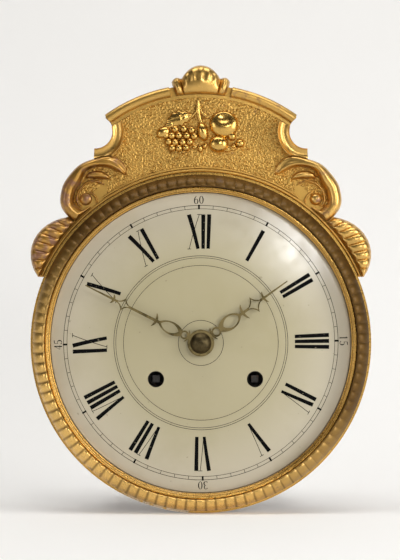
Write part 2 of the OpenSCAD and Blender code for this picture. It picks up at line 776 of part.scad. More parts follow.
// Motion work
module cannon_pinion() {
    phase = leaf_phase(cannon_teeth, centre_xy, minute_stud_xy);
    color("silver") difference() {
        union() {
            slab(cannon_z) polygon(pinion_points(cannon_teeth, m_cannon, phase));
            rod(centre_xy, [front_out + 1, minute_hand_z], cannon_r);
            rod(centre_xy, [minute_hand_z - eps, nut_z + 2], cannon_r - 0.5);
        }
        rod(centre_xy, [front_out, nut_z + 3], centre_arbor_r + fit);
    }
}

module minute_wheel() {
    phase = heading(minute_stud_xy, centre_xy);
    color("gold") at(minute_stud_xy) difference() {
        union() {
            toothed(minute_teeth, m_cannon, cannon_teeth, phase, minute_z, 4, 2.4, 4.4);
            slab(minute_pin_z) polygon(pinion_points(minute_pinion, m_hour,
                leaf_phase(minute_pinion, minute_stud_xy, centre_xy)));
            at(polar(11.3, 100)) rod([0, 0], [minute_z[1] - eps, minute_z[1] + 2], 0.7);
        }
        rod([0, 0], [front_out, board_z], 1.5 + fit);
    }
}

module minute_wheel_stud() {
    color("silver") at(minute_stud_xy) {
        rod([0, 0], [front_z + 0.2, minute_pin_z[1] + 1.2], 1.5);
        rod([0, 0], [front_out + eps, front_out + 2], 3);
        rod([0, 0], [minute_pin_z[1] + 0.4, minute_pin_z[1] + 1.4], 2.4);
    }
}

module hour_wheel() {
    phase = heading(centre_xy, minute_stud_xy);
    color("gold") difference() {
        union() {
            toothed(hour_teeth, m_hour, minute_pinion, phase, hour_z, 4, 2.4, 6);
            rod(centre_xy, [hour_z[0], hour_hand_z], hour_pipe_r);
            rod(centre_xy, [hour_hand_z - eps, hour_hand_z + hand_t + 0.6], hour_pipe_r - 0.7);
        }
        rod(centre_xy, [front_out, hour_hand_z + 5], cannon_r + 0.1);
    }
}

// Plates
module plate_outline() {
    translate([plate_x[0], plate_y[0]])
        square([plate_x[1] - plate_x[0], plate_y[1] - plate_y[0]]);
}

module pivot_holes() {
    for (p = [inter_xy, third_xy, escape_xy, lock_xy, warn_xy, fly_xy, lever_xy])
        at(p) circle(r = pivot_r + pivot_play, $fn = 32);
    for (p = pillar_xy) at(p) circle(r = stud_r + fit, $fn = 32);
}

module front_plate() {
    color("gold") slab([front_z, front_out]) difference() {
        plate_outline();
        pivot_holes();
        for (p = [pin_wheel_xy, hammer_xy, anchor_xy])
            at(p) circle(r = pivot_r + pivot_play, $fn = 32);
        circle(r = centre_arbor_r + pivot_play, $fn = 48);
        for (p = [going_barrel_xy, strike_barrel_xy])
            at(p) circle(r = winding_r + pivot_play, $fn = 48);
        for (p = post_xy) at(p) circle(r = stud_r + fit, $fn = 32);
        at(minute_stud_xy) circle(r = 1.5 + fit, $fn = 32);
        for (p = click_places) at(p) circle(r = click_pivot_r + fit, $fn = 32);
    }
}

// The back plate carries the stud that the count wheel turns on
count_stud_r = stud_r + 0.5;
module back_plate() {
    color("gold") at(strike_barrel_xy) {
        rod([0, 0], [count_z[1] + 0.2, back_z + eps], count_stud_r + 1.5);
        rod([0, 0], [count_z[0] - 2.4, count_z[1] + 0.3], count_stud_r);
        rod([0, 0], [count_z[0] - 3.4, count_z[0] - 2.3], count_stud_r + 1.5);
    }
    color("gold") slab([back_z, back_in]) difference() {
        plate_outline();
        pivot_holes();
        circle(r = pivot_r + pivot_play, $fn = 32);
        at(pin_wheel_xy) circle(r = 1 + pivot_play, $fn = 32);
        at(hammer_xy) circle(r = arbor_r + pivot_play, $fn = 32);
        at(anchor_xy) circle(r = 3, $fn = 32);
        at(going_barrel_xy) circle(r = stud_r + pivot_play, $fn = 48);
        at(strike_barrel_xy) circle(r = stud_r + pivot_play, $fn = 48);
        for (s = [-1, 1]) at(anchor_xy + [s * cock_foot, 0]) circle(r = 1 + fit, $fn = 32);
    }
}

module pillars() {
    color("gold") for (p = pillar_xy) at(p) {
        rod([0, 0], [back_in, front_z], pillar_r);
        rod([0, 0], [back_z - 3, front_out + 3], stud_r);
    }
}

module pillar_nuts() {
    color("silver") for (p = pillar_xy, z = [back_z - 2.4, front_out])
        translate([p[0], p[1], z]) difference() {
            cylinder(r = 4, h = 2.4, $fn = 6);
            translate([0, 0, -1]) cylinder(r = stud_r + fit, h = 5, $fn = 32);
        }
}

module dial_posts() {
    color("gold") for (p = post_xy) at(p) {
        rod([0, 0], [front_out, board_z], 3.4);
        rod([0, 0], [front_z + 0.2, board_z + 7], stud_r);
    }
}

// Barrels: a drum with its toothed rim, open inside for the spring
module barrel(xy, phase) {
    color("gold") at(xy) difference() {
        union() {
            rod([0, 0], drum_z, drum_r);
            slab(great_z) polygon(wheel_points(barrel_teeth, m_barrel, barrel_pinion, phase));
        }
        rod([0, 0], [drum_z[0] + drum_wall, drum_z[1] - drum_wall], drum_r - drum_wall);
        rod([0, 0], [0, front_z], winding_r + fit);
    }
}

module going_barrel() {
    barrel(going_barrel_xy, heading(going_barrel_xy, inter_xy));
}

module strike_barrel() {
    barrel(strike_barrel_xy, heading(strike_barrel_xy, pin_wheel_xy));
}

// Flat spiral strip between two radii
function spiral_side(r0, r1, turns, shift, steps) =
    [for (i = [0 : steps]) polar(r0 + (r1 - r0) * i / steps + shift, 360 * turns * i / steps)];
function reversed(list) = [for (i = [len(list) - 1 : -1 : 0]) list[i]];
module spiral(r0, r1, turns, wide, z, per_turn = 24) {
    steps = turns * per_turn;
    slab(z) polygon(concat(spiral_side(r0, r1, turns, -wide / 2, steps),
        reversed(spiral_side(r0, r1, turns, wide / 2, steps))));
}

spring_turns = 6;
spring_gap = 0.8;
spring_t = 0.7;
module mainspring(xy) {
    color("steelblue") at(xy) spiral(winding_r + 2.2, drum_r - drum_wall - spring_t / 2 - fit,
        spring_turns, spring_t,
        [drum_z[0] + drum_wall + spring_gap, drum_z[1] - drum_wall - spring_gap]);
}

module going_mainspring() {
    mainspring(going_barrel_xy);
}

module strike_mainspring() {
    mainspring(strike_barrel_xy);
}

// Winding arbor: square end for the key, ratchet in front of the plate
ratchet_depth = 1.5;
function ratchet_points() = [for (i = [0 : ratchet_teeth - 1],
    p = [[ratchet_r - ratchet_depth, 0.04], [ratchet_r, 0.96]])
    polar(p[0], (i + p[1]) * 360 / ratchet_teeth)];
arbor_head_z = board_top + 1;
module winding_arbor(xy) {
    color("silver") at(xy) {
        rod([0, 0], [back_in + 0.3, ratchet_z[1]], winding_r);
        rod([0, 0], [back_z + 0.2, back_in + 1], stud_r);
        rod([0, 0], [drum_z[0] + drum_wall + spring_gap, drum_z[1] - drum_wall - spring_gap],
            winding_r + 1.6);
        slab(ratchet_z) polygon(ratchet_points());
        translate([0, 0, (ratchet_z[0] + arbor_head_z) / 2])
            cube([square_w, square_w, arbor_head_z - ratchet_z[0]], center = true);
    }
}

module going_winding_arbor() {
    winding_arbor(going_barrel_xy);
}

module strike_winding_arbor() {
    winding_arbor(strike_barrel_xy);
}

// Click: a pawl that turns on its screw, held just clear of the ratchet
click_arm = 17;
click_angle = -110;
click_slant = 46;
click_pivot_r = 1.5;
click_places = [going_barrel_xy + polar(click_arm, click_angle),
    strike_barrel_xy + polar(click_arm, click_angle)];
module click(xy) {
    color("silver") at(xy) difference() {
        union() {
            rod([0, 0], ratchet_z, 3);
            slab(ratchet_z) rotate(click_angle + 180 + click_slant)
                polygon([[0, 2.2], [12.2, -0.2], [12.2, -1.6], [0, -2.6]]);
        }
        rod([0, 0], [ratchet_z[0] - 1, ratchet_z[1] + 1], click_pivot_r + fit);
    }
}

module click_screws() {
    color("silver") for (xy = click_places) at(xy) {
        rod([0, 0], [front_z + 0.2, ratchet_z[1] + 0.3], click_pivot_r);
        rod([0, 0], [ratchet_z[1] + 0.2, ratchet_z[1] + 1.4], 2.8);
        rod([0, 0], [front_out, ratchet_z[0] - 0.1], 2.4);
    }
}

module going_click() {
    click(click_places[0]);
}

module strike_click() {
    click(click_places[1]);
}

// Going train
module pinion(leaves, m, phase, z) {
    slab(z) polygon(pinion_points(leaves, m, phase));
}

module intermediate_wheel() {
    color("gold") at(inter_xy) {
        toothed(inter_teeth, m_inter, train_pinion, heading(inter_xy, centre_xy), inter_z);
        pinion(barrel_pinion, m_barrel, leaf_phase(barrel_pinion, inter_xy, going_barrel_xy),
            [great_z[0] - 1.5, great_z[1] + 1.5]);
        arbor();
    }
}

module centre_wheel() {
    color("gold") {
        toothed(centre_teeth, m_centre, train_pinion, heading(centre_xy, third_xy),
            centre_z);
        pinion(train_pinion, m_inter, leaf_phase(train_pinion, centre_xy, inter_xy),
            [inter_z[0] - 1, inter_z[1] + 1]);
        arbor([back_in + 0.3, front_z - 0.3]);
        rod(centre_xy, [front_z - 1, nut_z + 1.5], centre_arbor_r);
    }
}

module third_wheel() {
    color("gold") at(third_xy) {
        toothed(third_teeth, m_third, train_pinion, heading(third_xy, escape_xy), third_z);
        pinion(train_pinion, m_centre, leaf_phase(train_pinion, third_xy, centre_xy),
            [centre_z[0] - 2, centre_z[1] + 2]);
        arbor();
    }
}

// Escape wheel: pointed teeth that lean forward
function escape_points() = [for (i = [0 : escape_teeth - 1],
    p = [[escape_r - 1.7, 0.12], [escape_r, 0.5], [escape_r, 0.56], [escape_r - 1.7, 0.72]])
    polar(p[0], (i + p[1]) * 360 / escape_teeth)];
module escape_wheel() {
    inner = escape_r - 1.7 - 1.4;
    color("gold") at(escape_xy) {
        slab(escape_z) difference() {
            polygon(escape_points());
            difference() {
                circle(r = inner);
                circle(r = 2.6);
                for (i = [0 : 3]) rotate(i * 90) translate([0, -0.7]) square([inner + 1, 1.4]);
            }
        }
        pinion(train_pinion, m_third, leaf_phase(train_pinion, escape_xy, third_xy),
            [third_z[0] - 2, third_z[1] + 2]);
        arbor();
    }
}

// Anchor: pallet arms over the escape wheel, its arbor and the crutch behind the plate
pallet_clear = 1.15;
crutch_drop = 32;
module anchor_outline() {
    reach_r = escape_r + pallet_clear;
    difference() {
        yoke_sector(reach_r);
        at(escape_xy) circle(r = reach_r, $fn = 96);
    }
}

// The yoke is a crescent about the escape wheel, open below the pallets
module yoke_sector(reach_r) {
    intersection() {
        at(escape_xy) circle(r = reach_r + 2.4, $fn = 96);
        at(escape_xy) polygon([[0, 0], polar(30, 90 + pallet_span + 6), [-20, 30], [20, 30],
            polar(30, 90 - pallet_span - 6)]);
    }
}

module anchor() {
    color("silver") {
        slab([escape_z[0] - 0.4, escape_z[1] + 0.4]) anchor_outline();
        slab([escape_z[0] - 0.4, escape_z[1] + 0.4]) at(anchor_xy) circle(r = 2.4, $fn = 32);
        at(anchor_xy) {
            rod([0, 0], [cock_z[1] + 0.4, front_z - 0.3], arbor_r);
            rod([0, 0], [cock_z[0] + 0.3, front_out - 0.2], pivot_r);
            rod([0, 0], crutch_z, 2.6);
            slab([crutch_z[0] + 0.5, crutch_z[0] + 2]) translate([-1, -crutch_drop - 2])
                square([2, crutch_drop + 2]);
            slab([crutch_z[0] + 0.5, crutch_z[0] + 2]) translate([-2.6, -crutch_drop - 2])
                square([5.2, 3]);
            for (s = [-1, 1]) rod([s * 1.75, -crutch_drop - 0.6],
                [pendulum_z - 2, crutch_z[0] + 1], 0.6);
        }
    }
}

// Back cock: bridge over the anchor's rear pivot, with the stud that the pendulum hangs on
cock_foot = 10;
cock_half_l = 13;
cock_half_w = 4;
module back_cock() {
    color("gold") at(anchor_xy) {
        slab(cock_z) difference() {
            translate([-cock_half_l, -cock_half_w]) square([2 * cock_half_l, 2 * cock_half_w]);
            circle(r = pivot_r + pivot_play, $fn = 32);
        }
        for (s = [-1, 1]) at([s * cock_foot, 0]) {
            rod([0, 0], [cock_z[1] - eps, back_z], 2.6);
            rod([0, 0], [back_z - eps, back_in - 0.2], 1);
        }
        rod([0, 0], [stud_z[0], stud_z[1] - 0.8], 1);
        rod([0, 0], [stud_z[0], stud_z[0] + 1.4], 2.4);
        rod([0, 0], [stud_z[1] - 1, stud_z[1] + eps], 2);
    }
}

rod_top = 2;
rod_below = 3.5;
bob_half_t = 3;
pendulum_len = anchor_xy[1] + inner_h - bob_r - rod_top - rod_below - pendulum_clear;
bob_xy = anchor_xy - [0, pendulum_len];
module pendulum_rod() {
    color("silver") at(anchor_xy) {
        difference() {
            union() {
                rod([0, 0], [pendulum_z - 1.4, pendulum_z + 1.4], 3);
                translate([0, -rod_top, pendulum_z]) rotate([90, 0, 0])
                    cylinder(r = rod_r, h = pendulum_len + bob_r + rod_below, $fn = 32);
            }
            rod([0, 0], [stud_z[0] - 1, stud_z[1] + 1], 1 + fit);
        }
    }
}

module pendulum_bob() {
    lens = (bob_r * bob_r + bob_half_t * bob_half_t) / (2 * bob_half_t);
    color("gold") translate([bob_xy[0], bob_xy[1], pendulum_z]) difference() {
        intersection() {
            translate([0, 0, bob_half_t - lens]) sphere(r = lens, $fn = 128);
            translate([0, 0, lens - bob_half_t]) sphere(r = lens, $fn = 128);
            cylinder(r = bob_r - 0.4, h = 4 * bob_half_t, center = true);
        }
        rotate([90, 0, 0]) cylinder(r = rod_r + 0.1, h = 4 * bob_r, center = true, $fn = 32);
    }
}

module rating_nut() {
    color("gold") translate([bob_xy[0], bob_xy[1] - bob_r + 0.2, pendulum_z])
        rotate([90, 0, 0]) difference() {
            cylinder(r = 3, h = 2.6, $fn = 32);
            translate([0, 0, -1]) cylinder(r = rod_r + fit, h = 6, $fn = 32);
        }
}

// Striking train
pin_count = 9;
pin_circle = 13;
module pin_wheel() {
    color("gold") at(pin_wheel_xy) {
        toothed(pin_teeth, m_pin, train_pinion, heading(pin_wheel_xy, lock_xy), inter_z,
            5, 3.6);
        for (i = [0 : pin_count - 1]) at(polar(pin_circle + 0.6, i * 360 / pin_count + 15))
            rod([0, 0], [inter_z[0] - 2, inter_z[0] + eps], 0.6);
        pinion(barrel_pinion, m_barrel, leaf_phase(barrel_pinion, pin_wheel_xy,
            strike_barrel_xy), [great_z[0] - 1.5, great_z[1] + 0.6]);
        arbor();
        rod([0, 0], [count_z[0] - 0.5, back_in + 1], 1);
        pinion(train_pinion, m_count, leaf_phase(train_pinion, pin_wheel_xy,
            strike_barrel_xy), [count_z[0] - 0.5, count_z[1] + 0.5]);
    }
}

module locking_wheel() {
    color("gold") at(lock_xy) {
        toothed(lock_teeth, m_lock, train_pinion, heading(lock_xy, warn_xy), lock_z);
        rod(polar(8.4, 200), [lock_z[0] - 2, lock_z[0] + 0.5], 0.6);
        slab([lock_z[0] - 0.01, lock_z[1]]) at(polar(8.4, 200)) circle(r = 1.4, $fn = 24);
        pinion(train_pinion, m_pin, leaf_phase(train_pinion, lock_xy, pin_wheel_xy),
            [inter_z[0] - 1.4, inter_z[1] + 1]);
        arbor();
    }
}

module warning_wheel() {
    color("gold") at(warn_xy) {
        toothed(warn_teeth, m_warn, train_pinion, heading(warn_xy, fly_xy), warn_z);
        rod(polar(9.6, 120), [warn_z[0] - 2, warn_z[0] + 0.5], 0.6);
        pinion(train_pinion, m_lock, leaf_phase(train_pinion, warn_xy, lock_xy),
            [lock_z[0] - 1.4, lock_z[1] + 1.4]);
        arbor();
    }
}

module fly() {
    color("silver") at(fly_xy) {
        pinion(train_pinion, m_warn, leaf_phase(train_pinion, fly_xy, warn_xy),
            [warn_z[0] - 1.4, warn_z[1] + 1.4]);
        arbor();
        slab(fly_z) {
            circle(r = 2, $fn = 32);
            translate([-9.5, -0.4]) square([19, 0.8]);
        }
    }
}

// Count wheel: a toothed disc with a notch after each hour's blows
m_count = 2 * reach(m_barrel, barrel_teeth, barrel_pinion) / (80 + train_pinion);
count_teeth = 80;
count_total = 90;
function count_angle(k) = 360 * (k * (k + 1) / 2 + k) / count_total;
module count_wheel() {
    color("gold") at(strike_barrel_xy) difference() {
        union() {
            slab(count_z) polygon(wheel_points(count_teeth, m_count, train_pinion,
                heading(strike_barrel_xy, pin_wheel_xy)));
            rod([0, 0], [count_z[0] - 2, count_z[0] + eps], 20);
        }
        for (k = [1 : 12]) rotate([0, 0, count_angle(k)])
            translate([17.5, -0.8, count_z[0] - 3]) cube([4, 1.6, 3]);
        rod([0, 0], [count_z[0] - 5, count_z[1] + 1], count_stud_r + fit);
    }
}

module locking_lever() {
    color("silver") at(lever_xy) {
        rod([0, 0], [back_in + 0.3, front_z - 0.3], 1.6);
        rod([0, 0], [back_z + 0.2, front_out - 0.2], pivot_r);
        slab([lock_z[0] - 1.8, lock_z[0] - 0.6]) rotate(-28) translate([0, -1])
            square([9, 2]);
        slab([warn_z[0] - 1.8, warn_z[0] - 0.6]) rotate(20) translate([0, -1])
            square([12, 2]);
    }
}

// Hammer: tail beside the pin wheel, rod and head behind the back plate
head_r = 4.2;
hammer_gap = 0.8;
head_xy = gong_xy + polar(gong_r + hammer_gap + head_r, 200);
hammer_z = [24.2, 26.2];
module hammer() {
    rel = head_xy - hammer_xy;
    tail = norm(pin_wheel_xy - hammer_xy) - pin_circle - 1.6;
    color("silver") at(hammer_xy) {
        rod([0, 0], [hammer_z[0], front_z - 0.3], arbor_r);
        rod([0, 0], [front_z - 1, front_out - 0.2], pivot_r);
        rod([0, 0], hammer_z, 3);
        slab([inter_z[0] - 1.8, inter_z[0] - 0.6]) rotate(heading(hammer_xy, pin_wheel_xy))
            translate([0, -1]) square([tail, 2]);
        slab([hammer_z[0] + 0.3, hammer_z[0] + 1.7]) rotate(heading(hammer_xy, head_xy))
            translate([0, -1]) square([norm(rel), 2]);
        at(rel) {
            rod([0, 0], [14, hammer_z[1]], 1.4);
            rod([0, 0], [gong_z[0] - 1.2, gong_z[1] + 2], head_r);
        }
    }
}

// Gong: a coiled steel strip on an iron block
gong_turns = 4;
gong_hub = 6;
gong_w = 1.6;
module gong() {
    color("steelblue") at(gong_xy) spiral(gong_hub + gong_w / 2 + fit, gong_r - gong_w / 2,
        gong_turns, gong_w, gong_z, 32);
}

module gong_stand() {
    color("dimgray") at(gong_xy) {
        rod([0, 0], [case_t, gong_z[0] - 0.4], 9);
        rod([0, 0], [gong_z[0] - 0.5, gong_z[1] + 1], gong_hub);
        rod([0, 0], [gong_z[1] + 1 - eps, gong_z[1] + 2], 3);
    }
}

// Case
module board(x, y, z) {
    translate([x[0], y[0], z[0]]) cube([x[1] - x[0], y[1] - y[0], z[1] - z[0]]);
}

door_x = case_half_w - door_t - 1;
hinge_r = 1.2;
hinge_z = case_t + door_t / 2 + 1;
hinge_reach = 6;
door_gap = 0.6;

hanger_t = 2;
hanger_half_w = 12;
hanger_foot = case_half_h - 24;
hanger_screw_y = [case_half_h - 19, case_half_h - 9];
screw_r = 1.5;
screw_head_r = 3;
sink = 1.5;
module case_back() {
    color("burlywood") difference() {
        board([-case_half_w, case_half_w], [-case_half_h, case_half_h], [0, case_t]);
        board([-hanger_half_w - fit, hanger_half_w + fit], [hanger_foot - fit, case_half_h + 1],
            [-1, hanger_t]);
        for (y = hanger_screw_y) rod([0, y], [0, case_t - 1], screw_r + fit);
    }
}

module end_board(side) {
    color("burlywood") difference() {
        board([-case_half_w, case_half_w], side > 0 ? [inner_h, case_half_h]
            : [-case_half_h, -inner_h], [case_t, board_z]);
        for (s = [-1, 1]) translate([s * (door_x + door_t / 2), side * (inner_h - 1), hinge_z])
            rotate([-side * 90, 0, 0]) cylinder(r = hinge_r + 0.01, h = hinge_reach - 1, $fn = 32);
    }
}

// Top and bottom boards
module case_boards() {
    for (s = [-1, 1]) end_board(s);
}

module door(side) {
    color("burlywood") mirrored(side) difference() {
        union() {
            board([door_x, door_x + door_t], [-inner_h + door_gap, inner_h - door_gap],
                [hinge_z, board_z - door_gap]);
            translate([door_x + door_t / 2, inner_h - door_gap, hinge_z]) rotate([90, 0, 0])
                cylinder(r = door_t / 2, h = 2 * (inner_h - door_gap), $fn = 48);
            translate([door_x + door_t, 0, board_z - 14]) rotate([0, 90, 0])
                cylinder(r1 = 2, r2 = 4, h = 6, $fn = 48);
        }
        for (s = [-1, 1]) translate([door_x + door_t / 2, s * (inner_h + 1), hinge_z])
            rotate([s * 90, 0, 0]) cylinder(r = hinge_r + fit, h = 14, $fn = 32);
    }
}

module left_door() {
    door(-1);
}

module right_door() {
    door(1);
}

// Steel pins that the doors turn on, driven into the end boards
module door_hinge_pins() {
    color("silver") for (s = [-1, 1], e = [-1, 1])
        translate([s * (door_x + door_t / 2), e * (inner_h - 10), hinge_z])
            rotate([-e * 90, 0, 0]) cylinder(r = hinge_r, h = 10 + hinge_reach - 2.2, $fn = 32);
}

// Iron hanging plate let into the back of the case
module hanger_plate() {
    color("dimgray") difference() {
        union() {
            rod([0, hanger_rise], [0, hanger_t], hanger_half_w);
            board([-hanger_half_w, hanger_half_w], [hanger_foot, hanger_rise], [0, hanger_t]);
        }
        rod([0, hanger_rise], [-1, hanger_t + 1], hanger_r);
        for (y = hanger_screw_y) {
            translate([0, y, -eps]) cylinder(r1 = screw_head_r + fit, r2 = screw_r + fit,
                h = sink);
            rod([0, y], [0, hanger_t + 1], screw_r + fit);
        }
    }
}

module hanger_screws() {
    color("silver") for (y = hanger_screw_y) {
        translate([0, y, 0]) cylinder(r1 = screw_head_r - fit, r2 = screw_r, h = sink);
        rod([0, y], [sink - fit, case_t - 1.2], screw_r);
    }
}

stand() shield_board();
stand() ring_frame();
stand() gadroon_band();
stand() crest_panel();
stand() arch_rail();
stand() shell_finial();
stand() fruit_relief();
stand() side_coves();
stand() scroll(-1, left_eye_h);  // left_scroll
stand() scroll(1, right_eye_h);  // right_scroll
stand() fan(-1);  // left_fan
stand() fan(1);  // right_fan
stand() dial();
stand() minute_hand();
stand() hour_hand();
stand() hand_nut();
stand() hand_washer();
stand() cannon_pinion();
stand() minute_wheel();
stand() minute_wheel_stud();
stand() hour_wheel();
stand() front_plate();
stand() back_plate();
stand() pillars();
stand() pillar_nuts();
stand() dial_posts();
stand() going_barrel();
stand() going_mainspring();
stand() going_winding_arbor();
stand() going_click();
stand() intermediate_wheel();
stand() centre_wheel();
stand() third_wheel();
stand() escape_wheel();
stand() anchor();
stand() back_cock();
stand() pendulum_rod();
stand() pendulum_bob();
stand() rating_nut();
stand() strike_barrel();
stand() strike_mainspring();
stand() strike_winding_arbor();
stand() strike_click();
stand() pin_wheel();
stand() locking_wheel();
stand() warning_wheel();
stand() fly();
stand() count_wheel();
stand() locking_lever();
stand() hammer();
stand() gong();
stand() gong_stand();
stand() click_screws();
stand() case_back();
stand() case_boards();
stand() left_door();
stand() right_door();
stand() door_hinge_pins();
stand() hanger_plate();
stand() hanger_screws();
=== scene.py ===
# Looks of a gilt shield clock: fluted ring, carved crest, printed convex dial,
# patinated hands, and the brass movement and wooden case behind them.
# Pieces are modelled lying on their backs in millimetres, X to the right, Y up the dial
# and Z from the wall towards the viewer, with the hands' centre at the origin.
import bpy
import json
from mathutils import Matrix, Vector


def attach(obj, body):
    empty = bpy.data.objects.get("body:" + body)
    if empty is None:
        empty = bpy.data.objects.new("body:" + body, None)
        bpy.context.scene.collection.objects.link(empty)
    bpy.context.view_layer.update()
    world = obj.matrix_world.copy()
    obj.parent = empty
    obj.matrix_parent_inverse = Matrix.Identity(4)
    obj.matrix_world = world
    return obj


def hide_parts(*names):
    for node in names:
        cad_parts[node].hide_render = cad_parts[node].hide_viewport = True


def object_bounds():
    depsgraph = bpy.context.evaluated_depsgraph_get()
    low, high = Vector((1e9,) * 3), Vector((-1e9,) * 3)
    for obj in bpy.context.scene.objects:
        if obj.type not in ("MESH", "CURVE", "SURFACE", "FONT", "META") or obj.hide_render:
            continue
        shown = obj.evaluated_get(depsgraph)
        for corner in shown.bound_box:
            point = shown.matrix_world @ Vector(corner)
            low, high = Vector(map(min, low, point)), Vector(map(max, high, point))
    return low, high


bl_info = {
    "name": "Shield Clock",
    "version": (1, 0, 0),
    "blender": (4, 5, 0),
    "location": "View3D > Sidebar > Clock",
    "description": "Models the visible pieces of a gilt shield clock round its fixed frame",
    "category": "Object",
}

import json
import math

import bmesh
import bpy
from bmesh.types import BMEdge, BMVert
from mathutils import Matrix, Vector, noise

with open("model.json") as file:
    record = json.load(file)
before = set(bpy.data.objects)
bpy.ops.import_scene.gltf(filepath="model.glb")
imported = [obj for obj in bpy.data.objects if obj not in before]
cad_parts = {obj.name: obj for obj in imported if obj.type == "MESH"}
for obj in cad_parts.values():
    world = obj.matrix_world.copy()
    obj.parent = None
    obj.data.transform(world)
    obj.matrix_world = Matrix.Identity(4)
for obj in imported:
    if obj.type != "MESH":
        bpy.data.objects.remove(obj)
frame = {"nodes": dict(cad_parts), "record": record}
cad_low, cad_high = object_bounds()

# Sizes in millimetres. Those of the ring, dial, arch and crest are the same as the frame's
MM = 0.001
HANGER_RISE = 94.0
BOARD_TOP = 98.0
GROUND = 101.0
LEDGE_RISE = 6.0
LEDGE = BOARD_TOP + LEDGE_RISE
RING_R = 119.7
PLAIN_EDGE = 1.5
BAND_W = 8.8
BAND_IN = RING_R - PLAIN_EDGE - BAND_W
SIGHT_R = 105.8
DIAL_PLAY = 0.3
DIAL_EDGE_R = SIGHT_R - DIAL_PLAY
DIAL_EDGE_THICKNESS = 1.8
DIAL_THICKNESS = 1.0
DIAL_RISE = 8.2
DIAL_TOP = BOARD_TOP + DIAL_EDGE_THICKNESS + DIAL_RISE
DOME_R = (DIAL_EDGE_R**2 + DIAL_RISE**2) / (2 * DIAL_RISE)
ARCH_R = 116.2
ARCH_TOP = 181.9
ARCH_C = (0.0, ARCH_TOP - ARCH_R)
RAIL_W = 7.2
GOING_HOLE = (38.0, -25.5)
STRIKE_HOLE = (-31.5, -25.5)
HOLE_R = 5.7
CENTRE_HOLE_R = 6.0
CREST_FOOT = 122.5
BEAD_END = 124.0
BEAD_HALF_SPAN = 34.0
# Distances at which a piece's doubled points are merged
WELD = 0.004
FINE_WELD = 0.0005
# Turns millimetres into metres and stands a piece up, with the hanging hole at the origin
STAND = Matrix(((MM, 0, 0, 0), (0, 0, -MM, 0), (0, MM, 0, -HANGER_RISE * MM), (0, 0, 0, 1)))


def polar(r, degrees):
    a = math.radians(degrees)
    return r * math.cos(a), r * math.sin(a)


def blend(low, high, x):
    """Runs smoothly from 0 below low to 1 above high."""
    t = min(1.0, max(0.0, (x - low) / (high - low)))
    return t * t * (3 - 2 * t)


def rounded(t, power=2.4):
    """Height of a rounded moulding across its width, 0 at both edges and 1 in the middle."""
    return max(0.0, 1 - abs(2 * t - 1) ** power) ** (1 / power)


def along_ray(start, degrees, centre, radius):
    """How far along a ray from start it leaves the circle."""
    dx, dy = start[0] - centre[0], start[1] - centre[1]
    ux, uy = polar(1, degrees)
    b = dx * ux + dy * uy
    root = math.sqrt(max(0.0, b * b - dx * dx - dy * dy + radius * radius))
    return root - b


class ClockSizes(bpy.types.PropertyGroup):
    """Sizes of the carving and the print, in metres."""

    flute_count: bpy.props.IntProperty(
        name="Flutes", description="Flutes round the ring", default=102, min=12, max=160)
    flute_depth: bpy.props.FloatProperty(
        name="Flute depth", description="Depth of a groove between two flutes",
        default=0.001, subtype="DISTANCE", unit="LENGTH")
    shell_height: bpy.props.FloatProperty(
        name="Shell height", description="Height of the shell above its ground",
        default=0.008, subtype="DISTANCE", unit="LENGTH")
    scroll_height: bpy.props.FloatProperty(
        name="Scroll height", description="Height of the scrolls above their ground",
        default=0.008, subtype="DISTANCE", unit="LENGTH")
    fan_height: bpy.props.FloatProperty(
        name="Fan height", description="Height of the fans above their ground",
        default=0.0065, subtype="DISTANCE", unit="LENGTH")
    stipple_pitch: bpy.props.FloatProperty(
        name="Stipple pitch", description="Distance between punch marks on the ground",
        default=0.0009, subtype="DISTANCE", unit="LENGTH")
    stipple_height: bpy.props.FloatProperty(
        name="Stipple height", description="Height of the stippled ground's marks",
        default=0.001, subtype="DISTANCE", unit="LENGTH")
    print_lift: bpy.props.FloatProperty(
        name="Print thickness", description="Thickness of the printing ink on the dial",
        default=0.00004, subtype="DISTANCE", unit="LENGTH")


class ClockColours(bpy.types.PropertyGroup):
    """Colours of the finishes, and the brown of the painted shade on the gilding."""

    gold: bpy.props.FloatVectorProperty(
        name="Gold", description="Leaf on the carving", subtype="COLOR", size=4,
        default=(0.68, 0.405, 0.1, 1), min=0, max=1)
    bole: bpy.props.FloatVectorProperty(
        name="Bole", description="Red clay under the leaf", subtype="COLOR", size=4,
        default=(0.23, 0.1, 0.045, 1), min=0, max=1)
    # Painted shade: the brown laid over the band towards its upper right, in its grooves and in
    # the hollows between the ring's beads.
    painted_shade: bpy.props.FloatVectorProperty(
        name="Painted Shade", description="Brown film of old varnish", subtype="COLOR", size=4,
        default=(0.085, 0.04, 0.01, 1), min=0, max=1)
    gesso: bpy.props.FloatVectorProperty(
        name="Gesso", description="White ground where the edge is chipped", subtype="COLOR",
        size=4, default=(0.75, 0.68, 0.56, 1), min=0, max=1)
    dial_paint: bpy.props.FloatVectorProperty(
        name="Dial paint", description="Cream enamel of the dial", subtype="COLOR", size=4,
        default=(0.475, 0.42, 0.26, 1), min=0, max=1)
    ink: bpy.props.FloatVectorProperty(
        name="Ink", description="Printing on the dial", subtype="COLOR", size=4,
        default=(0.005, 0.005, 0.005, 1), min=0, max=1)
    patina: bpy.props.FloatVectorProperty(
        name="Patina", description="Brown film on the brass hands", subtype="COLOR", size=4,
        default=(0.09, 0.07, 0.03, 1), min=0, max=1)


def sizes():
    return bpy.context.scene.clock_sizes


def colours():
    return bpy.context.scene.clock_colours


# Shaders


def new_group(name, inputs, outputs):
    group = bpy.data.node_groups.new(name, "ShaderNodeTree")
    for label, kind, default in inputs:
        socket = group.interface.new_socket(name=label, in_out="INPUT", socket_type=kind)
        socket.default_value = default
    for label, kind in outputs:
        group.interface.new_socket(name=label, in_out="OUTPUT", socket_type=kind)
    return group, group.nodes.new("NodeGroupInput"), group.nodes.new("NodeGroupOutput")


